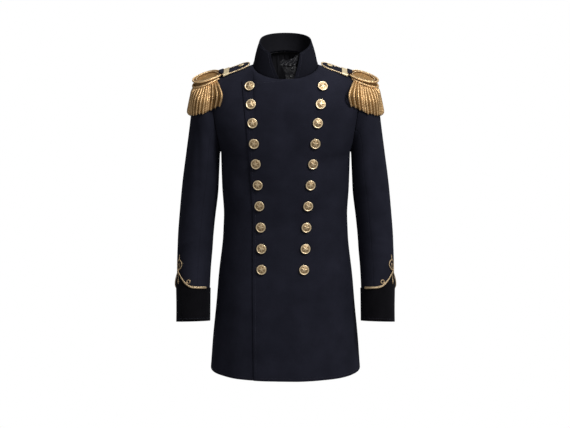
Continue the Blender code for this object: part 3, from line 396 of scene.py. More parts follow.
def top_point(column, back):
    """Where a column ends: on the neck seam near the centre, on the shoulder seam outside it."""
    neck_columns = LAP_COLUMNS - 1
    if column <= neck_columns:
        turn = 90 * column / neck_columns
        return neck_point(180 - turn if back else turn)
    if column <= LAP_COLUMNS:
        share = LAP_AT_SHOULDER * (column - neck_columns)
    else:
        share = LAP_AT_SHOULDER + (1 - LAP_AT_SHOULDER) * (column - LAP_COLUMNS) / (COLUMNS - LAP_COLUMNS)
    return neck_point(90).lerp(SHOULDER, share)


def armscye_point(share, back):
    """A point of the armhole seam, from the underarm at 0 to the shoulder at 1."""
    chest_z = BODY_LEVELS[-1][0]
    up = (1 - math.cos(math.pi * share)) / 2
    depth = ARMSCYE_HALF_DEPTH * math.sin(math.pi * share)
    x = UNDERARM_X + (SHOULDER.x - UNDERARM_X) * up
    return Vector((x, depth if back else -depth, chest_z + (SHOULDER.z - chest_z) * up))


def rounded(low, high, share, power):
    """From low to high on a quarter oval that sets off straight up; a power under 1 squares it."""
    rise = math.sin(share * math.pi / 2) ** power
    pull = 1 - abs(math.cos(share * math.pi / 2)) ** power
    step = high - low
    return low + Vector((step.x * rise, step.y * pull, step.z * rise))


def upper_point(column, share, back):
    """A point between the chest and the neck, shoulder and armhole seams."""
    chest_z = BODY_LEVELS[-1][0]
    low, across = body_point(column, chest_z, back)
    low_in, low_out = body_point(0, chest_z, back)[0], body_point(COLUMNS, chest_z, back)[0]
    high_in, high_out = top_point(0, back), top_point(COLUMNS, back)
    power = BACK_POWER if back else 1.0
    over = rounded(low, top_point(column, back), share, power)
    side = rounded(low_in, high_in, share, power).lerp(armscye_point(share, back), across)
    corners = rounded(low_in.lerp(low_out, across), high_in.lerp(high_out, across), share, power)
    return over + side - corners


def lap_share(column):
    """How far up a column the lap's top edge lies."""
    low, high = 0.3, 1.0
    for _ in range(24):
        middle = (low + high) / 2
        point = upper_point(min(column, LAP_COLUMNS), middle, False)
        if point.z < LAP_TOP_Z - LAP_TOP_FALL * point.x:
            low = middle
        else:
            high = middle
    return low


def body_grid(back, fine):
    """Points of half the front or back, as columns from the centre to the side and rows from the hem up."""
    hem, chest = BODY_LEVELS[0][0], BODY_LEVELS[-1][0]
    grid = np.zeros((COLUMNS * fine + 1, ROWS * fine + 1, 3))
    for c in range(COLUMNS * fine + 1):
        column = c / fine
        lap = SIDE_LAP_SHARE if back else lap_share(column)
        for r in range(ROWS * fine + 1):
            row = r / fine
            if row <= BODY_ROWS:
                point = body_point(column, hem + (chest - hem) * row / BODY_ROWS, back)[0]
            elif row <= BODY_ROWS + LAP_ROWS:
                point = upper_point(column, lap * (row - BODY_ROWS) / LAP_ROWS, back)
            else:
                up = (row - BODY_ROWS - LAP_ROWS) / NECK_ROWS
                point = upper_point(column, lap + (1 - lap) * up, back)
            grid[c, r] = point
    return grid


FINE = 5
front_grid, back_grid = body_grid(False, FINE), body_grid(True, FINE)
print("points of one half front:", front_grid.shape[0] * front_grid.shape[1])

# %% [markdown]
# ## From points to cloth
# A panel is a sheet of quads. At each point the outward direction is averaged over every quad that
# meets there, on all panels at once, so neighbouring panels agree at their seam. The sheet is then
# moved out by its lift and its creases, cut back a hair at its edges, and thickened inwards. A small
# bevel rounds the cut edges, so a seam reads as a soft groove.

# %% Sheets, directions and walls


def mirrored(grid):
    """The same grid on the other side, run the other way so that its faces still point out."""
    return (grid * np.array((-1.0, 1.0, 1.0)))[::-1]


def quads_of(grid):
    a, b, c, d = grid[:-1, :-1], grid[1:, :-1], grid[1:, 1:], grid[:-1, 1:]
    return np.stack([a, b, c, d], axis=2).reshape(-1, 4, 3)


def keys(points):
    return [tuple(row) for row in np.round(np.asarray(points).reshape(-1, 3), 6) + 0.0]


def shared_directions(grids):
    """The outward direction at each point of several sheets, averaged over all the quads that meet there."""
    total = {}
    for quads in map(quads_of, grids):
        area = np.cross(quads[:, 2] - quads[:, 0], quads[:, 3] - quads[:, 1])
        for corner in range(4):
            for spot, way in zip(keys(quads[:, corner]), area):
                total[spot] = total.get(spot, 0.0) + way
    return {spot: way / np.linalg.norm(way) for spot, way in total.items()}


def sheet_mesh(name, grids, directions, lift):
    """One mesh from several grids that share edges, each point moved out by the lift at that point."""
    index, points, faces = {}, [], []
    for grid in grids:
        for quad in quads_of(grid):
            corners = []
            for spot in keys(quad):
                if spot not in index:
                    index[spot] = len(points)
                    points.append(np.array(spot) + directions[spot] * lift(spot))
                if index[spot] not in corners:
                    corners.append(index[spot])
            if len(corners) > 2:
                faces.append(corners)
    mesh = bpy.data.meshes.new(name)
    mesh.from_pydata(points, [], faces)
    return mesh


def cut_back(mesh, by):
    """Move a sheet's free edges inwards along the sheet."""
    shape = bmesh.new()
    shape.from_mesh(mesh)
    moves = {}
    for edge in shape.edges:
        if edge.is_boundary:
            face = edge.link_faces[0]
            middle = (edge.verts[0].co + edge.verts[1].co) / 2
            along = (edge.verts[1].co - edge.verts[0].co).normalized()
            inward = face.calc_center_median() - middle
            inward = (inward - along * inward.dot(along)).normalized()
            for vert in edge.verts:
                moves.setdefault(vert, []).append(inward)
    for vert, ways in moves.items():
        vert.co += sum(ways, Vector()).normalized() * by
    shape.to_mesh(mesh)
    shape.free()


def finished(piece, nodes):
    """Put the piece on the root body and hide the solids that it stands for."""
    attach(piece, "root")
    if nodes:
        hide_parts(*nodes)


def trim_mesh(name, sign, points, faces, groove, finish):
    """A trim piece's mesh, from the points of the wearer's left one; a sign of -1 mirrors it."""
    mesh = bpy.data.meshes.new(name)
    mesh.from_pydata([(sign * x, y, z) for x, y, z in points], [], faces)
    # the groove values carry painted shade for the gold finish
    mesh.attributes.new("groove", "FLOAT", "POINT").data.foreach_set("value", groove)
    mesh.uv_layers.new(name="UVMap")
    mesh.materials.append(finish)
    return mesh


def face_outwards(mesh):
    """Turn all faces of a closed mesh to its outside."""
    shape = bmesh.new()
    shape.from_mesh(mesh)
    bmesh.ops.recalc_face_normals(shape, faces=shape.faces)
    shape.to_mesh(mesh)
    shape.free()


def cloth(name, mesh, thick, material, node, inside=None, bevel=0.0007):
    cut_back(mesh, SEAM)
    mesh.materials.append(material)
    mesh.materials.append(inside or material)
    mesh.shade_smooth()
    piece = placed(name, mesh)
    wall = piece.modifiers.new("Thickness", "SOLIDIFY")
    wall.thickness, wall.offset = thick, -1.0
    wall.material_offset = 1
    edge = piece.modifiers.new("Soft edges", "BEVEL")
    edge.width, edge.segments, edge.limit_method, edge.angle_limit = bevel, 2, "ANGLE", math.radians(50)
    finished(piece, [node])
    return piece


# %% [markdown]
# ## Creases
# Heavy wool falls in a few broad, soft folds rather than many sharp ones. Each fold here is one line
# of a table: where it starts and ends, how wide it is, and how far it stands out or sinks. A low,
# uneven swell over the whole cloth keeps the surface from looking machined. The same kinds of fold go
# on the back and the sleeves, which the photograph doesn't show.

# %% Folds of the body
# x and z of both ends, half width of the fold, height; a minus sinks
FRONT_FOLDS = (
    (0.035, -0.80, 0.022, -0.50, 0.020, 0.0016), (-0.030, -0.80, -0.045, -0.56, 0.022, -0.0014),
    (0.100, -0.80, 0.085, -0.46, 0.024, -0.0020), (-0.125, -0.80, -0.105, -0.44, 0.024, 0.0018),
    (0.150, -0.80, 0.132, -0.42, 0.020, 0.0020), (-0.160, -0.78, -0.140, -0.47, 0.018, -0.0018),
    (0.155, -0.25, 0.100, -0.33, 0.012, -0.0014), (-0.155, -0.24, -0.095, -0.31, 0.012, -0.0012),
    (0.150, -0.39, 0.070, -0.37, 0.013, -0.0012), (-0.150, -0.40, -0.110, -0.38, 0.012, -0.0010),
)
BACK_FOLDS = (
    (0.040, -0.80, 0.030, -0.46, 0.022, 0.0022), (-0.045, -0.80, -0.028, -0.50, 0.022, 0.0019),
    (0.095, -0.80, 0.078, -0.42, 0.022, -0.0020), (-0.100, -0.80, -0.085, -0.45, 0.024, -0.0022),
    (0.150, -0.80, 0.130, -0.48, 0.020, 0.0018), (-0.148, -0.78, -0.128, -0.44, 0.020, 0.0016),
    (0.150, -0.24, 0.075, -0.30, 0.014, -0.0016), (-0.150, -0.25, -0.080, -0.33, 0.014, -0.0014),
    (0.120, -0.37, 0.020, -0.36, 0.012, -0.0012), (-0.125, -0.38, -0.030, -0.39, 0.012, -0.0014),
)


def fold_height(folds, across, up):
    """The sum of the folds near a spot, each fading out at its ends and sides."""
    total = 0.0
    for x0, z0, x1, z1, width, height in folds:
        dx, dz = x1 - x0, z1 - z0
        share = ((across - x0) * dx + (up - z0) * dz) / (dx * dx + dz * dz)
        ease = smoothstep(1.15, 0.5, share) * (1.0 if z0 < -0.77 else smoothstep(-0.2, 0.35, share))
        off = math.hypot(across - x0 - dx * share, up - z0 - dz * share)
        total += height * ease * math.exp(-(off / width) ** 2)
    return total


def swell(x, y, z):
    """A low, even-handed unevenness made of three slow waves."""
    return (math.sin(23 * x + 9 * z + 0.7) * math.cos(17 * z - 11 * y) + 0.6 * math.sin(41 * z + 19 * x + 2.0)
            + 0.4 * math.sin(57 * y + 31 * z)) * 0.00030


def body_crease(spot):
    x, y, z = spot
    fade = 1 - smoothstep(-0.22, -0.12, z)
    folds = FRONT_FOLDS if y < 0 else BACK_FOLDS
    edge = min(abs(y) / 0.03, 1.0)
    return (fold_height(folds, x, z) * edge + swell(x, y, z)) * fade


print("folds:", len(FRONT_FOLDS), "in front,", len(BACK_FOLDS), "behind")

# %% [markdown]
# ## Body panels
# The coat laps left over right, as a man's coat does. The left front is the outer one: it carries the
# lap as one cloth with its side, stands over the right front by a cloth's thickness, and comes down to
# the same level at its side and shoulder. Both fronts and both backs are cut whole from hem to
# shoulder, with seams at the sides and at the centre of the back.

# %% Fronts and backs
lap_grid = front_grid[:LAP_COLUMNS * FINE + 1, :(BODY_ROWS + LAP_ROWS) * FINE + 1]
directions = shared_directions([front_grid, mirrored(front_grid), back_grid[::-1], mirrored(back_grid[::-1])])
top_share = {}
for r in range(NECK_ROWS * FINE):
    for spot in keys(front_grid[:, -1 - r]):
        top_share[spot] = r / (NECK_ROWS * FINE)


def outer_lift(spot):
    if spot[0] < 0:
        return LAP_LIFT + body_crease(spot)
    side = 1 - smoothstep(*LIFT_FADES, spot[0])
    return LAP_LIFT * side * top_share.get(spot, 1.0) + body_crease(spot)


HALF_FRONT_CUT, HALF_BACK_CUT = (0.47, 0.86), (0.34, 0.87)
# panel, its grids, its creases and its cut
PANELS = (
    ("front_left", [front_grid, mirrored(lap_grid)], outer_lift, HALF_FRONT_CUT),
    ("front_right", [mirrored(front_grid), lap_grid], body_crease, HALF_FRONT_CUT),
    ("back_left", [back_grid[::-1]], body_crease, HALF_BACK_CUT),
    ("back_right", [mirrored(back_grid[::-1])], body_crease, HALF_BACK_CUT),
)
for panel, grids, lift, cut in PANELS:
    cloth(f"wool_{panel}", sheet_mesh(f"wool_{panel}", grids, directions, lift),
          WOOL, navy_wool, panel, navy_inside)

# %% [markdown]
# ## Sleeves
# A tailored sleeve has two pieces: a wide top sleeve, and a narrow under sleeve that faces the body. It
# is set to the arm's natural bend, forwards below the elbow. Creases gather in the crook of the elbow
# and hang in long soft lines from the shoulder, so the fold table uses turns round the arm and places
# along it.

# %% Points of the sleeve
SLEEVE_ROWS = len(SLEEVE_RINGS) - 1
TOP_TURN = 108.0
# turn and row of both ends, half width in metres, height
SLEEVE_FOLDS = (
    (60, 3.6, 95, 6.2, 0.012, -0.0016), (100, 5.4, 45, 6.6, 0.010, 0.0016),
    (110, 6.2, 35, 7.4, 0.010, -0.0018), (105, 7.2, 30, 8.0, 0.009, 0.0014),
    (-60, 3.2, -95, 5.6, 0.014, -0.0016), (-100, 6.0, -50, 7.2, 0.012, 0.0014),
    (20, 2.6, 28, 5.2, 0.016, -0.0012), (-20, 3.0, -30, 5.8, 0.016, 0.0012),
    (-70, 7.4, -20, 8.4, 0.012, -0.0012), (75, 8.4, 20, 9.2, 0.010, -0.0010),
    (160, 3.0, 175, 5.8, 0.012, 0.0012), (200, 4.2, 190, 6.8, 0.012, -0.0012),
)


def sleeve_point(turn, row):
    """A point of the left sleeve, turned in degrees from its outer line towards the front."""
    outer_x, outer_z, inner_x, inner_z, half_depth, middle_y, tilt = curve_through(SLEEVE_RINGS, row)
    outer = np.array((outer_x, middle_y, outer_z))
    inner = np.array((inner_x, middle_y, inner_z))
    forward = np.array((0.0, -half_depth, half_depth * tilt))
    middle, angle = (outer + inner) / 2, math.radians(turn)
    return middle + (outer - middle) * math.cos(angle) + forward * math.sin(angle)


def sleeve_way(turn, row):
    """The outward direction there."""
    step = 0.01 if row < SLEEVE_ROWS - 0.5 else -0.01
    round_it = sleeve_point(turn + 0.5, row) - sleeve_point(turn - 0.5, row)
    down = (sleeve_point(turn, row + step) - sleeve_point(turn, row)) * np.sign(step)
    way = np.cross(round_it, down)
    return way / np.linalg.norm(way)


def sleeve_crease(turn, row):
    total = 0.0
    for t0, r0, t1, r1, width, height in SLEEVE_FOLDS:
        gap = (turn - t0 + 180) % 360 - 180
        across, along = gap * 0.0011, (row - r0) * 0.055
        dx, dz = (t1 - t0) * 0.0011, (r1 - r0) * 0.055
        share = (across * dx + along * dz) / (dx * dx + dz * dz)
        ease = smoothstep(1.25, 0.65, share) * smoothstep(-0.25, 0.35, share)
        total += height * ease * math.exp(-((across * dz - along * dx) / math.hypot(dx, dz) / width) ** 2)
    x, y, z = sleeve_point(turn, row)
    return (total + swell(x, y, z)) * smoothstep(1.6, 2.6, row) * smoothstep(9.9, 9.0, row)


def sleeve_grid(low_turn, high_turn, columns, rows):
    """A sheet of the left sleeve, from the cuff's end up and round from the lower turn to the higher."""
    grid, ways, lifts = [], {}, {}
    for c in range(columns + 1):
        turn = low_turn + (high_turn - low_turn) * c / columns
        column = [sleeve_point(turn, SLEEVE_ROWS * (1 - r / rows)) for r in range(rows + 1)]
        for r, spot in enumerate(keys(column)):
            row = SLEEVE_ROWS * (1 - r / rows)
            ways[spot], lifts[spot] = sleeve_way(turn, row), sleeve_crease(turn, row)
        grid.append(column)
    return np.array(grid)[::-1], ways, lifts


def both_sides(grid, ways, lifts):
    """The left sheet as it is, and its mirror image for the right, with directions and lifts."""
    yield "left", grid, ways, lifts
    flip = {spot: keys([(-spot[0], spot[1], spot[2])])[0] for spot in ways}
    other_ways = {flip[spot]: way * np.array((-1.0, 1.0, 1.0)) for spot, way in ways.items()}
    yield "right", mirrored(grid), other_ways, {flip[spot]: lift for spot, lift in lifts.items()}


# %% Top and under sleeves
for part, low, high, columns in (("top", -TOP_TURN, TOP_TURN, 54), ("under", TOP_TURN, 360 - TOP_TURN, 36)):
    for side, grid, ways, lifts in both_sides(*sleeve_grid(low, high, columns, 110)):
        name = f"wool_sleeve_{part}_{side}"
        cloth(name, sheet_mesh(name, [grid], ways, lambda spot: lifts[spot]), WOOL, navy_wool,
              f"sleeve_{part}_{side}", navy_inside)

# %% [markdown]
# ## Velvet cuffs
# Each cuff is a band of black velvet laid over the sleeve's end, with its upper edge cut to a point
# at the outer side. It follows the sleeve's own surface, lifted by a velvet's thickness. Its edge
# is hidden under the braid.

# %% Cuffs
CUFF_DEPTH, CUFF_STEP, KNOT_TURN, BORDER_RISE, BORDER_RISE_TURN = 0.086, 0.047, 36.0, 0.042, 54.0


def cuff_row(height):
    """The sleeve row at a height over the cuff's border."""
    return SLEEVE_ROWS - (CUFF_DEPTH + height) / CUFF_STEP


def on_cuff(turn, height, lift):
    """A point over the sleeve, at a turn from the knot's line and a height over the border."""
    spot, row = KNOT_TURN + turn, cuff_row(height)
    return Vector(sleeve_point(spot, row) + sleeve_way(spot, row) * lift)


def border_height(turn):
    return BORDER_RISE * max(1 - abs(turn) / BORDER_RISE_TURN, 0.0) ** 1.5


cuff_columns, cuff_rows = 96, 30
grid, ways, lifts = [], {}, {}
for c in range(cuff_columns + 1):
    turn = -180 + 360 * (c % cuff_columns) / cuff_columns
    column = []
    for r in range(cuff_rows + 1):
        row = cuff_row((CUFF_DEPTH + border_height(turn)) * r / cuff_rows - CUFF_DEPTH)
        column.append(sleeve_point(KNOT_TURN + turn, row))
        spot = keys(column[-1:])[0]
        ways[spot] = sleeve_way(KNOT_TURN + turn, row)
        lifts[spot] = REST_GAP + VELVET + 0.0004 * math.sin(turn / 21.0) * math.sin(r / 7.0)
    grid.append(column)
for side, sheet, way, lift in both_sides(np.array(grid)[::-1], ways, lifts):
    cuff_mesh = sheet_mesh(f"velvet_cuff_{side}", [sheet], way, lambda spot: lift[spot])
    cloth(f"velvet_cuff_{side}", cuff_mesh, VELVET, black_velvet, f"cuff_{side}")

# %% [markdown]
# ## Stand collar
# The collar is a stiff band, open in front in a gap that widens upwards, so its two ends show as
# slanting edges. It is made like the panels, from its foot on the neck seam to its top edge, which
# dips a little to the front and rises behind.

# %% Collar
COLLAR_INSET, COLLAR_TOP_MIDDLE_Y, COLLAR_BULGE = 0.001, -0.0025, 0.0016
COLLAR_TOP_HALF_WIDTH, COLLAR_TOP_HALF_DEPTH = 0.066, 0.0665
COLLAR_TOP_HEIGHT, COLLAR_CUT, COLLAR_EDGE = (0.0548, 0.32, -1.8), (0.50, 0.085), 0.0006
COLLAR_FRONT_TURNS = ((14.9, 33.8), (11.4, 36.4))


def collar_point(share, up):
    """A point of the collar, from its left front edge round the back to its right one."""
    left, right = COLLAR_FRONT_TURNS
    start = left[0] + (left[1] - left[0]) * up
    end = 360 - (right[0] + (right[1] - right[0]) * up)
    turn = start + (end - start) * share
    foot = neck_point(turn, COLLAR_INSET)
    foot.z += SEAM
    angle = math.radians(turn)
    y = COLLAR_TOP_MIDDLE_Y - COLLAR_TOP_HALF_DEPTH * math.cos(angle)
    level, slope, bow = COLLAR_TOP_HEIGHT
    top = Vector((COLLAR_TOP_HALF_WIDTH * math.sin(angle), y, level + slope * y + bow * y * y))
    outward = Vector((math.sin(angle), -math.cos(angle), 0))
    return foot.lerp(top, up) + outward * COLLAR_BULGE * math.sin(math.pi * up)


COLLAR_COLUMNS, COLLAR_ROWS = 120, 16
collar_grid = np.array([
    [collar_point(c / COLLAR_COLUMNS, r / COLLAR_ROWS) for r in range(COLLAR_ROWS + 1)]
    for c in range(COLLAR_COLUMNS + 1)
])
collar_ways = shared_directions([collar_grid])
collar_mesh = sheet_mesh("wool_collar", [collar_grid], collar_ways, lambda spot: 0.4 * swell(*spot))
# the collar's darker wool is painted shade
cloth("wool_collar", collar_mesh, COLLAR_WALL, collar_wool, "collar", navy_inside,
      bevel=COLLAR_EDGE)

# %% [markdown]
# ## Black satin in the neck
# Three small pieces of satin show in the neck gap: the lining of the back neck, drawn up in soft
# gathers, a narrow stand that carries two little buttons, and a crumpled tab across it. A few coarse
# points set each form, and a smooth curve through them makes the fine cloth. The crumples are short
# sharp ridges, because satin is thin and stiff.

# %% Smooth sheets through a few points
SATIN_EDGE, LINING_CUT, STAND_CUT, TAB_CUT = 0.0003, (0.19, 0.17), (0.03, 0.13), (0.055, 0.03)


def refined(coarse, columns, rows):
    """A finer grid on smooth curves through a coarse one."""
    coarse = np.array(coarse, float)
    across = [curve_through(coarse, c * (len(coarse) - 1) / columns) for c in range(columns + 1)]
    return np.array([[curve_through(line, r * (len(line) - 1) / rows) for r in range(rows + 1)]
                     for line in across])


def sampled(grid, column, row):
    """The point at a fractional column and row of a body grid."""
    c, r = column * FINE, row * FINE
    i, j = min(int(c), grid.shape[0] - 2), min(int(r), grid.shape[1] - 2)
    u, v = c - i, r - j
    near = grid[i, j] * (1 - u) * (1 - v) + grid[i + 1, j] * u * (1 - v)
    return near + grid[i, j + 1] * (1 - u) * v + grid[i + 1, j + 1] * u * v


def ridges(x, z, size, seed):
    """Short sharp folds: two crossing waves, bent by each other and raised to a point."""
    bend = math.sin(z / size * 1.7 + seed) * 0.9 + math.sin(x / size * 0.9 + 2 * seed)
    first = 1 - abs(math.sin(x / size + bend))
    second = 1 - abs(math.sin((z + 0.6 * x) / size * 0.8 - bend + seed))
    return (first ** 2 + 0.7 * second ** 2) / 1.7


# %% Lining, stand and tab
UNDER = -(WOOL + REST_GAP)
half = back_grid[:3 * FINE + 1, (BODY_ROWS + 3) * FINE:]
half = refined(half, 66, 66)
lining_grids = [half[::-1], mirrored(half[::-1])]
lining_ways = shared_directions(lining_grids)


def gathers(spot):
    x, y, z = spot
    depth = smoothstep(0.024, 0.004, z) * (0.35 + 0.65 * smoothstep(-0.12, -0.02, z))
    wide = math.sin(x * 520 + 1.3 * math.sin(z * 60))
    narrow = math.sin(x * 930 + 2.0 + 1.1 * math.sin(z * 45))
    wave = wide * 0.5 + narrow * 0.3
    return UNDER - 0.0013 * depth * (0.8 + wave)


# the lining's lighter satin is painted light
cloth("satin_lining", sheet_mesh("satin_lining", lining_grids, lining_ways, gathers), SATIN, lining_satin,
      "neck_lining", bevel=SATIN_EDGE)

STAND_COLUMNS, STAND_ROWS = (0.04, 0.31, 0.58, 0.85), (3.5, 4.4, 5.2)
STAND_TOP = ((-0.0742, -0.0310), (-0.0700, -0.0160), (-0.0640, -0.0020), (-0.0600, 0.0080))
# how far the stand's free edge curves aside at each of those heights
STAND_CURVE = ((0.001, 0.004, 0.012, 0.016), (0.000, 0.001, 0.004, 0.006))
stand = []
for k, column in enumerate(STAND_COLUMNS):
    line = []
    for row in STAND_ROWS:
        spot = sampled(front_grid, column, BODY_ROWS + row)
        line.append(spot + np.array((0.0, -UNDER, 0.0)))
    aside = STAND_CURVE[k] if k < len(STAND_CURVE) else (0.0,) * len(STAND_TOP)
    line += [(line[-1][0] - away, depth, height) for away, (depth, height) in zip(aside, STAND_TOP)]
    stand.append(line)
stand_grid = refined(stand, 30, 90)
stand_ways = shared_directions([stand_grid])
# the stand's darker satin is painted shade
cloth("satin_stand", sheet_mesh("satin_stand", [stand_grid], stand_ways,
                                lambda spot: 0.0009 * (ridges(spot[0], spot[2], 0.0052, 1.0) - 0.4)),
      SATIN, stand_satin, "inner_stand", bevel=SATIN_EDGE)

# x, lower z and upper z
TAB_STATIONS = (
    (-0.0160, -0.0010, 0.0015), (-0.0105, -0.0012, 0.0090), (-0.0050, -0.0015, 0.0138),
    (0.0030, -0.0020, 0.0104), (0.0105, -0.0028, 0.0126), (0.0180, -0.0018, 0.0164),
    (0.0250, 0.0010, 0.0205), (0.0298, 0.0100, 0.0232), (0.0325, 0.0222, 0.0246),
)
TAB_FOLD, TAB_FOLD_PITCH, TAB_FOLD_WAY = 0.0024, 0.0078, (0.755, -0.656)
(low_y, low_z), (high_y, high_z) = STAND_TOP[1], STAND_TOP[3]
lean = (high_y - low_y) / (high_z - low_z)
tab = []
for x, lower, upper in TAB_STATIONS:
    heights = [lower + (upper - lower) * r / 3 for r in range(4)]
    tab.append([(x, low_y + lean * (z - low_z) - REST_GAP - SATIN - 0.0004, z) for z in heights])
tab_grid = refined(tab, 90, 36)
tab_ways = shared_directions([tab_grid])


def slanting_folds(spot):
    """Sharp folds that climb to the upper tip, bent a little, with fine crumples over them."""
    across = spot[0] * TAB_FOLD_WAY[0] + spot[2] * TAB_FOLD_WAY[1] + 0.0012 * math.sin(spot[2] * 420)
    fold = 1 - abs(math.sin(math.pi * across / TAB_FOLD_PITCH + 0.6))
    return TAB_FOLD * fold ** 1.3 + 0.0005 * ridges(spot[0], spot[2], 0.0062, 2.6)


cloth("satin_tab", sheet_mesh("satin_tab", [tab_grid], tab_ways, slanting_folds), SATIN, black_satin,
      "neck_tab", bevel=SATIN_EDGE)

# %% [markdown]
# ## Cord and bullion with Geometry Nodes
# A cord follows a line and repeats its twist, which is just what Geometry Nodes do well. The tree turns
# a line into evenly spaced points, makes one copy for each ply, pushes each copy off the line by an
# angle that grows along it, and sweeps a circle along it. The bullion tree sweeps one circle
# and raises slanting ridges on it. Both keep a UV map and a groove attribute, low in the hollows
# between plies and ridges, which the gold finish turns into painted shade.

# %% Parts that both trees share


def captured(tree, geometry, fields, domain="POINT"):
    """Keep some values on the geometry, to be read further down the tree."""
    node = tree.nodes.new("GeometryNodeCaptureAttribute")
    node.domain = domain
    tree.links.new(geometry, node.inputs["Geometry"])
    for label, (kind, source) in fields.items():
        node.capture_items.new(kind, label)
        tree.links.new(source, node.inputs[label])
    return node.outputs


def vector(tree, operation, first, second=(0.0, 0.0, 0.0), scale=1.0):
    values = {0: first, "Scale": scale} if operation == "SCALE" else {0: first, 1: second}
    node = put(tree, "ShaderNodeVectorMath", values, operation=operation)
    return node.outputs["Value"] if operation in ("LENGTH", "DISTANCE") else node.outputs[0]


def swept(tree, curve, girth, sides):
    """Sweep a circle of that girth along curves. Gives the mesh and the share of the way round."""
    circle = put(tree, "GeometryNodeCurvePrimitiveCircle",
                 {"Resolution": sides, "Radius": 1.0}).outputs["Curve"]
    parameter = put(tree, "GeometryNodeSplineParameter")
    ring = captured(tree, circle, {"Around": ("FLOAT", parameter.outputs["Factor"])})
    mesh = put(tree, "GeometryNodeCurveToMesh", {
        "Curve": curve, "Profile Curve": ring["Geometry"], "Scale": girth, "Fill Caps": True,
    })
    return mesh.outputs["Mesh"], ring["Around"]


def finish_cord(tree, outputs, mesh, around, along, groove, material):
    """Store the UV map and the groove value, which the gold finish paints as shade in the hollows, shade it
    smooth and set its finish.
    """
    face_mean = put(tree, "GeometryNodeFieldOnDomain", {"Value": around}, domain="FACE",
                    data_type="FLOAT").outputs[0]
    wraps = number(tree, "MULTIPLY", number(tree, "LESS_THAN", around, 0.01),
                   number(tree, "GREATER_THAN", face_mean, 0.3))
    place_on = put(tree, "ShaderNodeCombineXYZ",
                   {"X": number(tree, "ADD", around, wraps), "Y": along}).outputs[0]
    uv = put(tree, "GeometryNodeStoreNamedAttribute", {"Geometry": mesh, "Name": "UVMap", "Value": place_on},
             data_type="FLOAT2", domain="CORNER").outputs[0]
    kept = put(tree, "GeometryNodeStoreNamedAttribute", {"Geometry": uv, "Name": "groove", "Value": groove},
               data_type="FLOAT", domain="POINT").outputs[0]
    smooth = put(tree, "GeometryNodeSetShadeSmooth", {"Geometry": kept, "Shade Smooth": True}).outputs[0]
    real = put(tree, "GeometryNodeRealizeInstances", {"Geometry": smooth}).outputs[0]
    done = put(tree, "GeometryNodeSetMaterial", {"Geometry": real, "Material": material}).outputs[0]
    tree.links.new(done, outputs["Geometry"])


def line_start(tree, geometry, step):
    """Turn the input's edges into evenly spaced curves, with what both trees need kept on them."""
    line = put(tree, "GeometryNodeMeshToCurve", {"Mesh": geometry}).outputs["Curve"]
    even = put(tree, "GeometryNodeResampleCurve", {"Curve": line, "Length": step},
               mode="LENGTH").outputs["Curve"]
    girth = put(tree, "GeometryNodeInputNamedAttribute", {"Name": "girth"}, data_type="FLOAT").outputs[0]
    return captured(tree, even, {
        "Along": ("FLOAT", put(tree, "GeometryNodeSplineParameter").outputs["Length"]),
        "Side": ("VECTOR", put(tree, "GeometryNodeInputNormal").outputs[0]),
        "Ahead": ("VECTOR", put(tree, "GeometryNodeInputTangent").outputs[0]),
        "Centre": ("VECTOR", put(tree, "GeometryNodeInputPosition").outputs[0]),
        "Girth": ("FLOAT", girth),
    })


# %% The cord tree
cord_tree, cord_in, cord_out = new_tree(
    "Twisted cord",
    "GeometryNodeTree",
    [("Geometry", "Geometry"), ("Plies", "Int", 3), ("Turn length", "Float", 0.012), ("Step", "Float", 0.001),
     ("Sides", "Int", 8), ("Ply share", "Float", 0.5), ("Finish", "Material")],
    [("Geometry", "Geometry")],
)
line = line_start(cord_tree, cord_in["Geometry"], cord_in["Step"])
plies = put(cord_tree, "GeometryNodeDuplicateElements",
            {"Geometry": line["Geometry"], "Amount": cord_in["Plies"]},
            domain="SPLINE")
part_turn = number(cord_tree, "DIVIDE", plies.outputs["Duplicate Index"], cord_in["Plies"])
turn = number(cord_tree, "ADD", number(cord_tree, "DIVIDE", line["Along"], cord_in["Turn length"]), part_turn)
angle = number(cord_tree, "MULTIPLY", turn, math.tau)
across = vector(cord_tree, "CROSS_PRODUCT", line["Ahead"], line["Side"])
way = vector(cord_tree, "ADD", vector(cord_tree, "SCALE", line["Side"],
                                      scale=number(cord_tree, "COSINE", angle)),
             vector(cord_tree, "SCALE", across, scale=number(cord_tree, "SINE", angle)))
ply_girth = number(cord_tree, "MULTIPLY", line["Girth"], cord_in["Ply share"])
off_line = vector(cord_tree, "SCALE", way, scale=number(cord_tree, "SUBTRACT", line["Girth"], ply_girth))
twisted = put(cord_tree, "GeometryNodeSetPosition",
              {"Geometry": plies.outputs["Geometry"], "Offset": off_line}).outputs[0]
swept_mesh, around = swept(cord_tree, twisted, ply_girth, cord_in["Sides"])
# Painted shade: the groove value falls towards the cord's middle line, so the finish colours the hollows
# between the plies browner.
spot = put(cord_tree, "GeometryNodeInputPosition").outputs[0]
height = number(cord_tree, "DIVIDE", vector(cord_tree, "DISTANCE", spot, line["Centre"]), line["Girth"])
groove = put(cord_tree, "ShaderNodeMapRange", {"Value": height, "From Min": 0.62, "From Max": 1.0}).outputs[0]
finish_cord(cord_tree, cord_out, swept_mesh, around, line["Along"], groove, cord_in["Finish"])
print("cord tree:", len(cord_tree.nodes), "nodes")

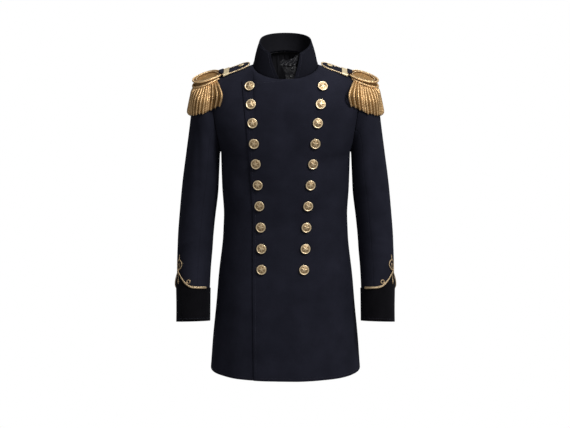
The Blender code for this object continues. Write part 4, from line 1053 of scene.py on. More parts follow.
# %% The bullion tree
bullion_tree, bullion_in, bullion_out = new_tree(
    "Bullion",
    "GeometryNodeTree",
    [("Geometry", "Geometry"), ("Ridges", "Float", 2.0), ("Turn length", "Float", 0.012),
     ("Step", "Float", 0.0012),
     ("Sides", "Int", 12), ("Ridge depth", "Float", 0.08), ("Finish", "Material")],
    [("Geometry", "Geometry")],
)
line = line_start(bullion_tree, bullion_in["Geometry"], bullion_in["Step"])
swept_mesh, around = swept(bullion_tree, line["Geometry"], line["Girth"], bullion_in["Sides"])
lean_turn = number(bullion_tree, "DIVIDE", line["Along"], bullion_in["Turn length"])
phase = number(bullion_tree, "MULTIPLY_ADD", around, bullion_in["Ridges"], lean_turn)
wave = number(bullion_tree, "COSINE", number(bullion_tree, "MULTIPLY", phase, math.tau))
rise = number(bullion_tree, "MULTIPLY", wave,
              number(bullion_tree, "MULTIPLY", line["Girth"], bullion_in["Ridge depth"]))
out_way = put(bullion_tree, "GeometryNodeInputNormal").outputs[0]
ridged = put(bullion_tree, "GeometryNodeSetPosition", {
    "Geometry": swept_mesh, "Offset": vector(bullion_tree, "SCALE", out_way, scale=rise),
}).outputs[0]
# Painted shade: the groove value is low in the hollows between the ridges, so the finish colours them
# browner.
groove = number(bullion_tree, "MULTIPLY_ADD", wave, 0.5, 0.5)
finish_cord(bullion_tree, bullion_out, ridged, around, line["Along"], groove, bullion_in["Finish"])
print("bullion tree:", len(bullion_tree.nodes), "nodes")

# %% Lines for the trees


def line_mesh(name, lines, closed=False):
    """Edges through lists of points, each with its girth, for a tree to follow."""
    points, edges, girths = [], [], []
    for path, girth in lines:
        start, count = len(points), len(path)
        points += [tuple(p) for p in path]
        girths += [girth] * count if isinstance(girth, float) else list(girth)
        edges += [(start + i, start + i + 1) for i in range(count - 1)]
        if closed:
            edges.append((start + count - 1, start))
    mesh = bpy.data.meshes.new(name)
    mesh.from_pydata(points, edges, [])
    mesh.attributes.new("girth", "FLOAT", "POINT").data.foreach_set("value", girths)
    return mesh


def smooth_rows(rows, steps):
    """Rows of a table read at many more places, on a smooth curve through them."""
    rows = np.array(rows, float)
    return [curve_through(rows, k * (len(rows) - 1) / steps) for k in range(steps + 1)]


def flip(path):
    return [(-p[0], p[1], p[2]) for p in path]


def corded(name, lines, node, slot="gold_cord", tree=None, closed=False, **inputs):
    """Run the lines, and their mirror images, through a tree: one piece for each side."""
    for side in ("left", "right"):
        sided = lines if side == "left" else [(flip(path), girth) for path, girth in lines]
        piece = run_tree(f"{name}_{side}", line_mesh(name, sided, closed), tree or cord_tree, **inputs)
        finished(piece, [f"{node}_{side}"])
        print(f"{piece.name}: {len(piece.data.polygons)} faces")

# %% [markdown]
# ## Braid on the cuffs
# Along the velvet's edge runs a thick gold cord. From each end it climbs to a crossing, opens into a
# loop and closes in a thin finial. Small curls, a bead and a drop fill it out. A table gives one
# strand as turns round the cuff and heights over the border; the other strand is its mirror image. Where
# the strands cross, one passes over the other.

# %% Cuff braid
# turn, height and radius along one strand, from its end at the under sleeve
BRAID_STRAND = (
    (101.5, 0.0000, 0.0014), (99.0, 0.0000, 0.0037), (87.0, 0.0000, 0.0039), (71.0, 0.0000, 0.0038),
    (54.0, 0.0010, 0.0035), (45.0, 0.0035, 0.0033), (36.0, 0.0083, 0.0030), (27.0, 0.0150, 0.0027),
    (18.0, 0.0232, 0.0025), (9.0, 0.0325, 0.0022), (0.0, 0.0430, 0.0020), (-8.5, 0.0500, 0.0019),
    (-13.0, 0.0575, 0.0018), (-11.0, 0.0645, 0.0018), (-5.5, 0.0690, 0.0018), (0.8, 0.0720, 0.0017),
)
CURL_TURN, CURL_HEIGHT, CURL_RADIUS, CURL_CORD = 41.0, 0.0145, 0.0048, 0.0015
BRAID_FLAT, BRAID_GROUND = 0.62, ("velvet_cuff", "wool_sleeve_top", "wool_sleeve_under")
TURN_PER_METRE = math.degrees(1 / 0.050)


def surface_of(*pieces):
    """The outer surfaces of some pieces together, for lines to meet."""
    points, faces = [], []
    for piece in pieces:
        faces += [[v + len(points) for v in p.vertices] for p in piece.data.polygons]
        points += [v.co.copy() for v in piece.data.vertices]
    return BVHTree.FromPolygons(points, faces)


def braid_lift(height):
    """How far the cord's underside stands over the sleeve: on the velvet, then down on the wool."""
    on_velvet = REST_GAP + VELVET + 0.0001
    return on_velvet + (REST_GAP - on_velvet) * smoothstep(BORDER_RISE, BORDER_RISE + 0.012, height)


def laid(rows, side=1, steps=60, over=0.0):
    """A path on the cuff through turns, heights and radii, and its girths."""
    path, girths = [], []
    for t, h, r in smooth_rows(rows, steps):
        crossing = over * math.exp(-(t / 7.0) ** 2) * math.exp(-((h - 0.043) / 0.008) ** 2)
        path.append(on_cuff(side * t, h, braid_lift(h) + r * 0.92 + crossing))
        girths.append(max(r, 0.0004))
    return path, girths


finial = [(0.0, 0.0700, 0.0014), (0.0, 0.0730, 0.0019), (0.0, 0.0770, 0.0015), (0.0, 0.0810, 0.0012),
          (0.0, 0.0845, 0.0006)]
drop = [(0.0, 0.0440, 0.0008), (0.0, 0.0300, 0.0009), (0.0, 0.0215, 0.0014), (0.0, 0.0165, 0.0025),
        (0.0, 0.0115, 0.0020), (0.0, 0.0080, 0.0006)]
bud = [(0.0, 0.0440, 0.0008), (0.0, 0.0520, 0.0009), (0.0, 0.0560, 0.0018), (0.0, 0.0595, 0.0021),
       (0.0, 0.0630, 0.0006)]
strands = [laid(BRAID_STRAND, 1, 110, 0.0022), laid(BRAID_STRAND, -1, 110, 0.0)]
small_lines = [laid(rows, 1, 24) for rows in (finial, drop, bud)]
CURL_STEPS = 26
for side in (1, -1):
    curl = []
    for k in range(CURL_STEPS + 1):
        angle = math.radians(-60 + 340 * k / CURL_STEPS)
        size = CURL_RADIUS * (1.0 - 0.25 * (k / CURL_STEPS) ** 3)
        turn = side * (CURL_TURN - size * math.cos(angle) * TURN_PER_METRE)
        height = CURL_HEIGHT + size * math.sin(angle)
        curl.append(on_cuff(turn, height, REST_GAP + VELVET + CURL_CORD))
    small_lines.append((curl, [CURL_CORD * (1.0 if k < 24 else 0.75) for k in range(CURL_STEPS + 1)]))
for side in ("left", "right"):
    sided = (lambda path: path) if side == "left" else flip
    thick = run_tree("thick", line_mesh("thick", [(sided(p), g) for p, g in strands]), cord_tree, plies=3,
                     turn_length=0.0135, step=0.0010, sides=8, ply_share=0.52, finish=gold_braid)
    thin = run_tree("thin", line_mesh("thin", [(sided(p), g) for p, g in small_lines]), bullion_tree,
                    ridges=2.0, turn_length=0.004, step=0.0005, sides=10, ridge_depth=0.06,
                    finish=gold_braid)
    joined = bmesh.new()
    joined.from_mesh(thick.data)
    joined.from_mesh(thin.data)
    ground = surface_of(*(bpy.data.objects[f"{part}_{side}"] for part in BRAID_GROUND))
    for vert in joined.verts:
        vert.co = ground.find_nearest(vert.co)[0].lerp(vert.co, BRAID_FLAT)
    braid = bpy.data.meshes.new(f"cuff_knot_{side}")
    joined.to_mesh(braid)
    joined.free()
    braid.materials.append(gold_braid)
    for start in (thick, thin):
        bpy.data.objects.remove(start, do_unlink=True)
    piece = placed(f"cuff_knot_{side}", braid)
    finished(piece, [f"cuff_braid_{side}"])
    print(piece.name, len(braid.polygons), "faces")

# %% [markdown]
# ## Gilt buttons
# Twenty domed buttons stand in two columns that close in towards the waist. Each has a plain pale rim
# and a pressed rosette: a five-pointed star in a ring of pearls, a motif that belongs to nobody. One
# button is modelled as a disc whose height is a formula of radius and angle. Geometry Nodes
# put a copy at each place, square to the cloth there and turned a little at random.

# %% One button
RIM_START, RIM_WIDTH, RELIEF = 0.80, 0.20, 0.075


def star_relief(share, angle):
    """Height of the pressed front at a share of the radius and an angle, and its brightness, which is painted
    shade: low in the hollows of the relief, high on the star, pearls and rim.
    """
    if share > RIM_START:
        rim = math.sin(math.pi * min((share - RIM_START) / RIM_WIDTH, 1.0)) ** 0.5 if share < 1 else 0.0
        return 0.330 + RELIEF * rim, 0.45 + 0.55 * rim
    dome = 0.335 + 0.120 * (1 - (share / RIM_START) ** 2)
    reach = 0.30 + 0.44 * abs(math.cos(2.5 * angle)) ** 2.2
    star = max(1 - share / reach, 0.0) ** 0.45 * (0.75 + 0.25 * abs(math.cos(5 * angle)))
    boss = max(1 - (share / 0.13) ** 2, 0.0) ** 0.5
    pearl = math.exp(-((share - 0.70) / 0.05) ** 2) * (0.5 + 0.5 * math.cos(15 * angle)) ** 0.7
    raised = max(star * 0.9, boss, pearl * 0.7)
    return dome + RELIEF * raised, 0.14 + 0.66 * raised


def four_holes(share, angle):
    """The front of a small sewn button: a soft rim round a dished middle with four holes."""
    rim = math.exp(-((share - 0.82) / 0.13) ** 2)
    x, y = abs(share * math.cos(angle)), abs(share * math.sin(angle))
    hole = math.exp(-(math.hypot(x - 0.2, y - 0.2) / 0.085) ** 4)
    edge = max(share - 0.9, 0.0) / 0.1
    return 0.34 + 0.14 * rim - 0.28 * hole - 0.10 * edge ** 2, 0.5


def button_master(name, radius, front, around=48, rings=26):
    """A button at the origin that faces up, standing on its shank."""
    points, faces, bright = [], [], []
    rows = [(0.30, 0.0, 0.2), (0.62, 0.10, 0.2), (0.93, 0.17, 0.3), (1.0, 0.215, 0.5)]
    for k in range(around):
        angle = math.tau * k / around
        line = rows + [(1 - j / rings, *front(1 - j / rings, angle)) for j in range(rings)]
        for share, up, groove in line:
            points.append((radius * share * math.cos(angle), radius * share * math.sin(angle), radius * up))
            bright.append(groove)
    count = len(rows) + rings
    for k in range(around):
        a, b = k * count, (k + 1) % around * count
        faces += [(a + j, b + j, b + j + 1, a + j + 1) for j in range(count - 1)]
    up, groove = front(0.0, 0.0)
    points.append((0.0, 0.0, radius * up))
    bright.append(groove)
    faces += [(k * count + count - 1, (k + 1) % around * count + count - 1, len(points) - 1)
              for k in range(around)]
    faces.append([k * count for k in reversed(range(around))])
    mesh = bpy.data.meshes.new(name)
    mesh.from_pydata(points, [], faces)
    # the brightness is painted shade, stored as the groove attribute for the gilt finish
    mesh.attributes.new("groove", "FLOAT", "POINT").data.foreach_set("value", bright)
    mesh.uv_layers.new(name="UVMap")
    mesh.shade_smooth()
    return placed(name, mesh)


# %% The tree that sets copies square to a surface
copies_tree, copies_in, copies_out = new_tree(
    "Set on cloth",
    "GeometryNodeTree",
    [("Geometry", "Geometry"), ("Master", "Object"), ("Most turn", "Float", 0.3), ("Seed", "Int", 7),
     ("Finish", "Material")],
    [("Geometry", "Geometry")],
)
facing = put(copies_tree, "GeometryNodeInputNamedAttribute", {"Name": "facing"},
             data_type="FLOAT_VECTOR").outputs[0]
square = put(copies_tree, "FunctionNodeAlignRotationToVector", {"Vector": facing}, axis="Z").outputs[0]
least = number(copies_tree, "MULTIPLY", copies_in["Most turn"], -1.0)
spin = put(copies_tree, "FunctionNodeRandomValue",
           {2: least, 3: copies_in["Most turn"], "Seed": copies_in["Seed"]},
           data_type="FLOAT").outputs[1]
about_z = put(copies_tree, "FunctionNodeAxisAngleToRotation", {"Axis": (0, 0, 1), "Angle": spin}).outputs[0]
turned = put(copies_tree, "FunctionNodeRotateRotation", {"Rotation": square, "Rotate By": about_z},
             rotation_space="LOCAL").outputs[0]
master = put(copies_tree, "GeometryNodeObjectInfo", {"Object": copies_in["Master"]}).outputs["Geometry"]
copies = put(copies_tree, "GeometryNodeInstanceOnPoints", {
    "Points": copies_in["Geometry"], "Instance": master, "Rotation": turned,
}).outputs[0]
real = put(copies_tree, "GeometryNodeRealizeInstances", {"Geometry": copies}).outputs[0]
done = put(copies_tree, "GeometryNodeSetMaterial",
           {"Geometry": real, "Material": copies_in["Finish"]}).outputs[0]
copies_tree.links.new(done, copies_out["Geometry"])


def set_copies(name, seats, master, nodes, slot, finish, **inputs):
    """Put a copy of the master on each seat, which is a place and the way that it faces."""
    mesh = bpy.data.meshes.new(name)
    mesh.from_pydata([place for place, way in seats], [], [])
    ways = [part for place, way in seats for part in way]
    mesh.attributes.new("facing", "FLOAT_VECTOR", "POINT").data.foreach_set("vector", ways)
    piece = run_tree(name, mesh, copies_tree, master=master, finish=finish, **inputs)
    finished(piece, nodes)
    print(f"{name}: {len(seats)} copies, {len(piece.data.polygons)} faces")


# %% Seats on the cloth


def seat_from_front(tree, x, z, radius):
    """Where a button of that radius sits flat on a panel, and the way that it faces."""
    def hit(side, up):
        return tree.ray_cast(Vector((x + side, -0.5, z + up)), Vector((0, 1, 0)))[0]

    across = hit(radius, 0) - hit(-radius, 0)
    upward = hit(0, radius) - hit(0, -radius)
    direction = across.cross(upward).normalized()
    place = hit(0, 0)
    around = [hit(radius * math.cos(k), radius * math.sin(k)) for k in range(7)]
    proud = max([(spot - place).dot(direction) for spot in around] + [0.0])
    return place + direction * (proud + REST_GAP), direction


# %% Coat buttons and the two inner ones
BUTTON_RADIUS, SMALL_BUTTON_RADIUS = 0.01275, 0.0042
# height, x in the right column, x in the left column
BUTTON_ROWS = (
    (-0.0520, -0.0897, 0.0930), (-0.0943, -0.0865, 0.0880), (-0.1402, -0.0827, 0.0807),
    (-0.1916, -0.0788, 0.0745), (-0.2446, -0.0742, 0.0686), (-0.2988, -0.0693, 0.0627),
    (-0.3528, -0.0654, 0.0568), (-0.4084, -0.0622, 0.0526), (-0.4633, -0.0606, 0.0501),
    (-0.5168, -0.0605, 0.0469),
)
INNER_BUTTONS = ((0.0188, -0.0074), (0.0152, -0.0270))
outer_front = surface_of(bpy.data.objects["wool_front_left"])
seats = [seat_from_front(outer_front, x, z, BUTTON_RADIUS * 0.7) for z, *sides in BUTTON_ROWS for x in sides]
names = [f"coat_button_{side}_{row}" for side in ("left", "right") for row in range(1, len(BUTTON_ROWS) + 1)]
coat_button = button_master("coat_button_master", BUTTON_RADIUS, star_relief)
set_copies("coat_buttons", seats, coat_button, names, "gold_metal", gilt_metal, most_turn=0.35, seed=3)
small_button = button_master("small_button_master", SMALL_BUTTON_RADIUS, four_holes, 32, 14)
stand_surface = surface_of(bpy.data.objects["satin_stand"])
seats = [seat_from_front(stand_surface, x, z, SMALL_BUTTON_RADIUS * 0.8) for x, z in INNER_BUTTONS]
set_copies("inner_buttons", seats, small_button, ["inner_button_1", "inner_button_2"], "black_horn",
           black_horn, seed=5)

# %% [markdown]
# ## Shoulder strap
# Each epaulette is a dark strap that ends round near the collar, edged with gold cord and held to the
# shoulder by a small flat button. A ribbed gilt keeper crosses it. The strap lies on the shoulder, so
# its level is read from the cloth below at three places.

# %% Strap, edge cord, keeper and button
STRAP_OUTER_X, STRAP_TIP_X, STRAP_ROUND_X, STRAP_HALF_WIDTH = 0.1600, 0.0945, 0.1125, 0.024
STRAP_THICK, STRAP_TILT, STRAP_GAP, STRAP_CORD = 0.0032, 0.12, 0.0006, 0.0020
TONGUE_X, TONGUE_NARROW, TONGUE_LEVEL = 0.1715, 0.013, -0.0262
KEEPER_X, KEEPER_WALL, KEEPER_RIBS, STRAP_BUTTON_RADIUS = (0.1445, 0.1585), 0.0012, 5, 0.0078
KEEPER_ROUND, KEEPER_RIB, STRAP_CUT, STRAP_EDGE = 0.003, 0.0005, (0.084, 0.050), 0.0008
SHOULDER_PARTS = ("front", "back", "sleeve_top", "sleeve_under")
shoulder = surface_of(*(bpy.data.objects[f"wool_{part}_left"] for part in SHOULDER_PARTS))


def height_at(x, y):
    place = shoulder.ray_cast(Vector((x, y, 0.5)), Vector((0, 0, -1)))[0]
    return place.z if place else -1.0


def strap_level(x):
    """Height of the strap's underside at its middle, just over the shoulder."""
    reach = STRAP_HALF_WIDTH + 2 * STRAP_CORD + KEEPER_WALL + 0.001
    return max(height_at(x, reach * k / 8) - STRAP_TILT * reach * k / 8 for k in range(-8, 9)) + STRAP_GAP


LEVELS = [strap_level(x) for x in (STRAP_TIP_X, (STRAP_TIP_X + STRAP_OUTER_X) / 2, STRAP_OUTER_X)]


def at_strap(x, y, up):
    """A point over the strap's underside."""
    inner, middle, outer = LEVELS
    straight = inner + (outer - inner) * (x - STRAP_TIP_X) / (STRAP_OUTER_X - STRAP_TIP_X)
    raised = straight + max(middle - (inner + outer) / 2, 0.0)
    if x > STRAP_OUTER_X - 0.001:
        raised += (TONGUE_LEVEL - outer) * smoothstep(STRAP_OUTER_X - 0.001, STRAP_OUTER_X + 0.004, x)
        raised = max(raised, TONGUE_LEVEL)
    return Vector((x, y, raised + STRAP_TILT * y + up))


def strap_half_width(x):
    if x >= STRAP_ROUND_X:
        return STRAP_HALF_WIDTH - TONGUE_NARROW * smoothstep(STRAP_OUTER_X, TONGUE_X, x)
    share = (STRAP_ROUND_X - x) / (STRAP_ROUND_X - STRAP_TIP_X)
    return STRAP_HALF_WIDTH * math.sqrt(max(1 - share ** 2.2, 0.0))


tip = STRAP_TIP_X + 0.0006
stations = [tip + (STRAP_OUTER_X - tip) * (k / 40) ** 1.6 for k in range(41)]
on_board = [STRAP_OUTER_X + (TONGUE_X - STRAP_OUTER_X) * k / 10 for k in range(1, 11)]
strap = np.array([
    [at_strap(x, y / 10 * strap_half_width(x), STRAP_THICK) for x in stations + on_board]
    for y in range(-10, 11)
])
print("strap levels:", [round(level, 4) for level in LEVELS])
for side, grid in (("left", strap[::-1]), ("right", mirrored(strap[::-1]))):
    strap_mesh = sheet_mesh(f"strap_cloth_{side}", [grid], shared_directions([grid]), lambda spot: 0.0)
    cloth(f"strap_cloth_{side}", strap_mesh, STRAP_THICK, navy_wool, f"epaulette_strap_{side}",
          bevel=STRAP_EDGE)

off = STRAP_CORD + REST_GAP
edge = []
for x in reversed(stations):
    slope = (strap_half_width(x + 0.0004) - strap_half_width(x - 0.0004)) / 0.0008 if x > tip else 6.0
    bend = math.hypot(1, slope)
    edge.append((x - off * slope / bend, -(strap_half_width(x) + off / bend)))
edge += [(x, -y) for x, y in reversed(edge)]
edge_path = [tuple(at_strap(x, y, STRAP_CORD)) for x, y in edge]
corded("strap_rope", [(edge_path, STRAP_CORD)], "strap_cord", plies=2, turn_length=0.008, step=0.0009,
       ply_share=0.56, finish=pale_rope)

half_span = STRAP_HALF_WIDTH + 2 * STRAP_CORD + 2 * REST_GAP + KEEPER_WALL
top, corner = 2 * STRAP_CORD + REST_GAP + KEEPER_WALL, KEEPER_ROUND
profile = [(-half_span, 0.0)]
for k in range(9):
    angle = math.pi / 2 * k / 8
    profile.append((-half_span + corner * (1 - math.cos(angle)), top - corner * (1 - math.sin(angle))))
profile += [(-half_span * (1 - k / 12) + corner * (1 - k / 12), top) for k in range(1, 12)] + [(0.0, top)]
profile += [(-y, up) for y, up in reversed(profile[:-1])]
keeper_points, keeper_faces, rib_shade = [], [], []
columns = KEEPER_RIBS * 10
for c in range(columns + 1):
    x = KEEPER_X[0] + (KEEPER_X[1] - KEEPER_X[0]) * c / columns
    rib = abs(math.sin(math.pi * KEEPER_RIBS * c / columns)) ** 0.5
    for y, up in profile:
        grow = KEEPER_RIB * (rib - 1)
        steep = min(abs(y) / half_span, 1.0) ** 12
        keeper_points.append(at_strap(x, y + math.copysign(grow * steep, y), up + grow * (1 - steep)))
        # Painted shade: the groove values are low between the ribs, so the finish colours those hollows
        # browner.
        rib_shade.append(0.35 + 0.65 * rib)
rows = len(profile)
for c in range(columns):
    keeper_faces += [(c * rows + r, (c + 1) * rows + r, (c + 1) * rows + r + 1, c * rows + r + 1)
                     for r in range(rows - 1)]
for side, sign in SIDES:
    faces = [face[::sign] for face in keeper_faces]
    mesh = trim_mesh(f"keeper_{side}", sign, keeper_points, faces, rib_shade, pale_gilt)
    mesh.shade_smooth()
    keeper = placed(f"keeper_{side}", mesh)
    wall = keeper.modifiers.new("Thickness", "SOLIDIFY")
    wall.thickness, wall.offset = KEEPER_WALL, -1.0
    finished(keeper, [f"strap_keeper_{side}"])

place = at_strap(STRAP_ROUND_X, 0.0, STRAP_THICK + REST_GAP)
ahead = at_strap(STRAP_ROUND_X + 0.01, 0.0, STRAP_THICK + REST_GAP) - place
way = ahead.cross(Vector((0, 1, STRAP_TILT))).normalized()
strap_button = button_master("strap_button_master", STRAP_BUTTON_RADIUS, star_relief, 40, 20)
for side, sign in SIDES:
    seat = (Vector((sign * place.x, place.y, place.z)), Vector((sign * way.x, way.y, way.z)))
    set_copies(f"strap_button_gilt_{side}", [seat], strap_button, [f"strap_button_{side}"], "gold_metal",
               pale_gilt)
for item in (coat_button, small_button, strap_button):
    bpy.data.objects.remove(item, do_unlink=True)

# %% [markdown]
# ## Board and ropes of the epaulette
# The outer end is an oval board of gold lace, a little dished, with a slim cord inside its edge and a
# thick rope round it. A second rope hangs below the first and is furthest from it at the outer end, so
# the two make a crescent. All follow one tilted oval.

# %% Board and ropes
RING_X, RING_HALF_WIDTH, RING_HALF_DEPTH = 0.2001, 0.0371, 0.0490
RING_LEVEL, RING_FALL, RING_TILT = -0.0258, 0.28, 0.116
UPPER_CORD, LOWER_CORD, LOWER_CORD_DROP = 0.0026, 0.0029, (0.0058, 0.0090)
BOARD_THICK, BOARD_DISH, RIM_CORD, INNER_DROP, BACK_THIN = 0.0020, 0.0052, 0.0013, 0.0030, 0.30
RIM_GROW, RIM_RISE, LACE_RIB = -0.0085, -0.0004, 0.00025
BAND_THICK, BAND_GAP, STRANDS, STRAND_ARC = 0.0020, 0.0008, 27, 142.0


def ring_point(turn, grow, drop):
    """A point of the oval, turned in degrees from its outer end towards the front."""
    angle = math.radians(turn)
    x = RING_X + (RING_HALF_WIDTH + grow) * math.cos(angle)
    y = -(RING_HALF_DEPTH + grow) * math.sin(angle)
    drop += INNER_DROP * smoothstep(-0.35, -1.0, math.cos(angle))
    return Vector((x, y, RING_LEVEL - RING_FALL * (x - STRAP_OUTER_X - 0.001) + RING_TILT * y - drop))


def thinned(turn):
    """The share of a rope's girth that is left at a turn: it is slimmer behind."""
    return 1 - BACK_THIN * smoothstep(0.2, 0.9, -math.sin(math.radians(turn)))


def lower_drop(turn):
    """How far the lower rope lies under the upper one; the crescent is deepest at its outer end."""
    least, more = LOWER_CORD_DROP
    return least + more * ((1 + math.cos(math.radians(turn))) / 2) ** 1.4


upper_girths = [UPPER_CORD * thinned(2 * t) for t in range(180)]
upper_path = [tuple(ring_point(2 * t, 0.0, 0.0)) for t in range(180)]
corded("crescent_upper", [(upper_path, upper_girths)], "crescent_cord_upper", closed=True, plies=3,
       turn_length=0.0105, step=0.0010, ply_share=0.52, finish=gold_rope)
reach = STRAND_ARC + 2
lower_path = [tuple(ring_point(t, 0.0, lower_drop(t))) for t in np.linspace(-reach, reach, 140)]
corded("crescent_lower", [(lower_path, LOWER_CORD)], "crescent_cord_lower", plies=3, turn_length=0.0115,
       step=0.0010, ply_share=0.52, finish=gold_rope)
rim_path = [tuple(ring_point(2 * t, RIM_GROW, RIM_RISE)) for t in range(180)]
for side in ("left", "right"):
    path = rim_path if side == "left" else flip(rim_path)
    rim = run_tree(f"board_rim_{side}", line_mesh("rim", [(path, RIM_CORD)], True), cord_tree, plies=2,
                   turn_length=0.006, step=0.0009, sides=6, ply_share=0.55, finish=pale_rope)
    finished(rim, [])

edge_grow = -(UPPER_CORD + REST_GAP)
rings, spokes = 24, 120
board_points, board_faces, board_groove_shade = [], [], []
for level in range(2):
    for r in range(rings + 1):
        share = r / rings
        for k in range(spokes):
            turn = 360 * k / spokes
            rim_spot, centre = ring_point(turn, edge_grow, 0.0), ring_point(0, -RING_HALF_WIDTH, 0.0)
            spot = centre.lerp(rim_spot, max(share, 0.004))
            rib = 0.5 + 0.5 * math.cos(math.tau * k / 3)
            ribbing = LACE_RIB * rib * (1 - level) * min(share * 3, 1)
            spot.z -= BOARD_DISH * (1 - share ** 7) + level * BOARD_THICK - ribbing
            board_points.append(spot)
            # Painted shade: the groove values are low between the lace's ribs and fall almost to nothing at
            # the dish's steep wall under the rim, so the finish colours those hollows brown.
            board_groove_shade.append((0.25 + 0.5 * rib) * (1 - 0.9 * smoothstep(0.80, 0.92, share)))
block = (rings + 1) * spokes
for level in range(2):
    for r in range(rings):
        for k in range(spokes):
            a, b = level * block + r * spokes + k, level * block + r * spokes + (k + 1) % spokes
            face = (a, a + spokes, b + spokes, b)
            board_faces.append(face if level else face[::-1])
last = rings * spokes
for k in range(spokes):
    ahead_k = (k + 1) % spokes
    board_faces.append((last + k, last + ahead_k, block + last + ahead_k, block + last + k))
board_faces += [list(range(spokes)), [block + k for k in reversed(range(spokes))]]
for side, sign in SIDES:
    mesh = trim_mesh(f"lace_board_{side}", sign, board_points, board_faces, board_groove_shade, gold_lace)
    uv = mesh.uv_layers["UVMap"]
    for loop in mesh.loops:
        inside = loop.vertex_index % block
        uv.data[loop.index].uv = (inside % spokes / spokes, inside // spokes / rings * RING_HALF_DEPTH)
    mesh.shade_smooth()
    face_outwards(mesh)
    board = placed(f"lace_board_{side}", mesh)
    finished(board, [f"epaulette_board_{side}"])
print("board:", len(board_faces), "faces a side")

# %% [markdown]
# ## Bullion fringe
# Two rows of gold bullion, twenty-seven strands over twenty-six more, hang from a narrow band. The under
# row is coloured with a darker copy of the gold, as painted shade for the shadow of the row in front of it.
# Each leaves the band outwards, bends over the shoulder and hangs down, longer at the outer end. How far
# a strand must stand out is found by lines of sight to the cloth, at several heights, so that none cuts
# into the sleeve. Then a smooth curve through its few sections is swept with the bullion tree.

# %% Strand routes
STRAND_CLEAR, TIP_Z, TIP_FALL, TIP_FRONT = 0.0012, -0.0940, 0.536, 0.0105
STRAND_SHARES, STRAND_SPREADS = (0.16, 0.50, 1.00), (0.0045, 0.0035, 0.0025)
STRAND_GIRTH, UNDER_GIRTH, INNER_WAY, UNDER_ROW = 0.0029, 0.85, -0.05, 0.0045
LEAN_OUT, INNER_SHIFT, INNER_BULGE, START_REACH, STRAND_STEPS = 0.0090, 0.0060, 0.0085, 0.03, 36


def clear_reach(z, middle, way):
    """How far out from a strand's middle line the cloth's surface reaches at a height."""
    across = Vector((-way.y, way.x, 0)) * (STRAND_GIRTH + 0.0003)
    level = Vector((middle.x, middle.y, z))
    reaches = [-1.0]
    for side in (-1, 0, 1):
        spot = shoulder.ray_cast(level + across * side + way * 0.2, -way)[0]
        if spot:
            reaches.append((spot - level).dot(way))
    return max(reaches)


def aside(turn, share):
    """Strands lean outwards as they fall, but the innermost ones bulge towards the chest."""
    inner = smoothstep(105, STRAND_ARC, turn)
    bulge = INNER_SHIFT * share + INNER_BULGE * math.sin(math.pi * share)
    return Vector((LEAN_OUT * share * (1 - inner) - bulge * inner, 0, 0))


def tip_height(turn, x):
    """The lower edge of the fringe: longest in front, shorter at its inner end and behind."""
    front = max(math.sin(math.radians(turn)), 0.0) ** 0.7 * min((150 - abs(turn)) / 35, 1.0)
    return TIP_Z - TIP_FALL * (x - STRAP_OUTER_X - 0.006) - TIP_FRONT * front


def strand_path(turn, longer, inwards=0.0):
    """A strand's points from its root down to its tip. The under row lies further in."""
    root = ring_point(turn, -(LOWER_CORD + BAND_GAP + BAND_THICK / 2), lower_drop(turn) + LOWER_CORD - 0.001)
    way = Vector((max((root.x - RING_X) / RING_HALF_WIDTH, INNER_WAY), root.y / RING_HALF_DEPTH,
                  0)).normalized()
    middle = Vector((root.x, root.y, 0)) - way * START_REACH
    shares = (0.0,) + STRAND_SHARES
    fall = tip_height(turn, root.x) + longer - root.z
    reaches = [START_REACH]
    for spread in STRAND_SPREADS:
        reaches.append(reaches[-1] + spread - inwards / len(STRAND_SPREADS))
    for _ in range(3):
        for k in range(1, len(shares)):
            for part in (0.3, 0.5, 0.7, 0.85, 1.0):
                share = shares[k - 1] + (shares[k] - shares[k - 1]) * part
                cloth_reach = clear_reach(root.z + fall * share, middle + aside(turn, share), way)
                need = cloth_reach + STRAND_GIRTH + STRAND_CLEAR - inwards * 0.3
                lack = need - (reaches[k - 1] + (reaches[k] - reaches[k - 1]) * part)
                reaches[k] += max(lack, 0.0)
                if k > 1:
                    reaches[k - 1] += max(lack, 0.0) * (1 - part)
    spots = [middle + aside(turn, share) + way * reach for share, reach in zip(shares, reaches)]
    sections = np.array([(spot.x, spot.y, root.z + fall * share) for share, spot in zip(shares, spots)])
    return [tuple(curve_through(sections, 3 * k / STRAND_STEPS)) for k in range(STRAND_STEPS + 1)]


def strand_turn(k):
    """Turn of a strand: even round the outer end, evener as seen from the front further in."""
    share = (k - (STRANDS - 1) / 2) / (STRANDS / 2)
    far = abs(share)
    flat = math.degrees(math.acos(1 - far * (1 - math.cos(math.radians(STRAND_ARC)))))
    even = STRAND_ARC * far
    return math.copysign(even + 0.6 * smoothstep(0, 0.5, far) * (flat - even), share)


# %% Strands and band
upper_row, under_row = [], []
for k in range(2 * STRANDS - 1):
    under = k % 2
    girth = STRAND_GIRTH * (UNDER_GIRTH if under else 1.0)
    path = strand_path(strand_turn(k / 2), 0.0010 * math.sin(1.15 * k) + 0.0015 * under, UNDER_ROW * under)
    girths = []
    for j in range(STRAND_STEPS + 1):
        end_round = math.sqrt(max(1 - ((j - 34) / 2.4) ** 2, 0.05)) if j > 34 else 1.0
        girths.append(girth * (0.86 + 0.14 * smoothstep(0, 8, j)) * end_round)
    (under_row if under else upper_row).append((path, girths))
corded("bullion_fringe", upper_row, "fringe", tree=bullion_tree, ridges=2.0, turn_length=0.0042,
       step=0.0010, sides=10, ridge_depth=0.05, finish=gold_bullion)
# the under row's darker gold is painted shade
for side in ("left", "right"):
    sided = under_row if side == "left" else [(flip(path), girth) for path, girth in under_row]
    row = run_tree(f"bullion_under_{side}", line_mesh("under", sided), bullion_tree, ridges=2.0,
                   turn_length=0.0042, step=0.0012, sides=8, ridge_depth=0.05, finish=gold_under)
    finished(row, [])

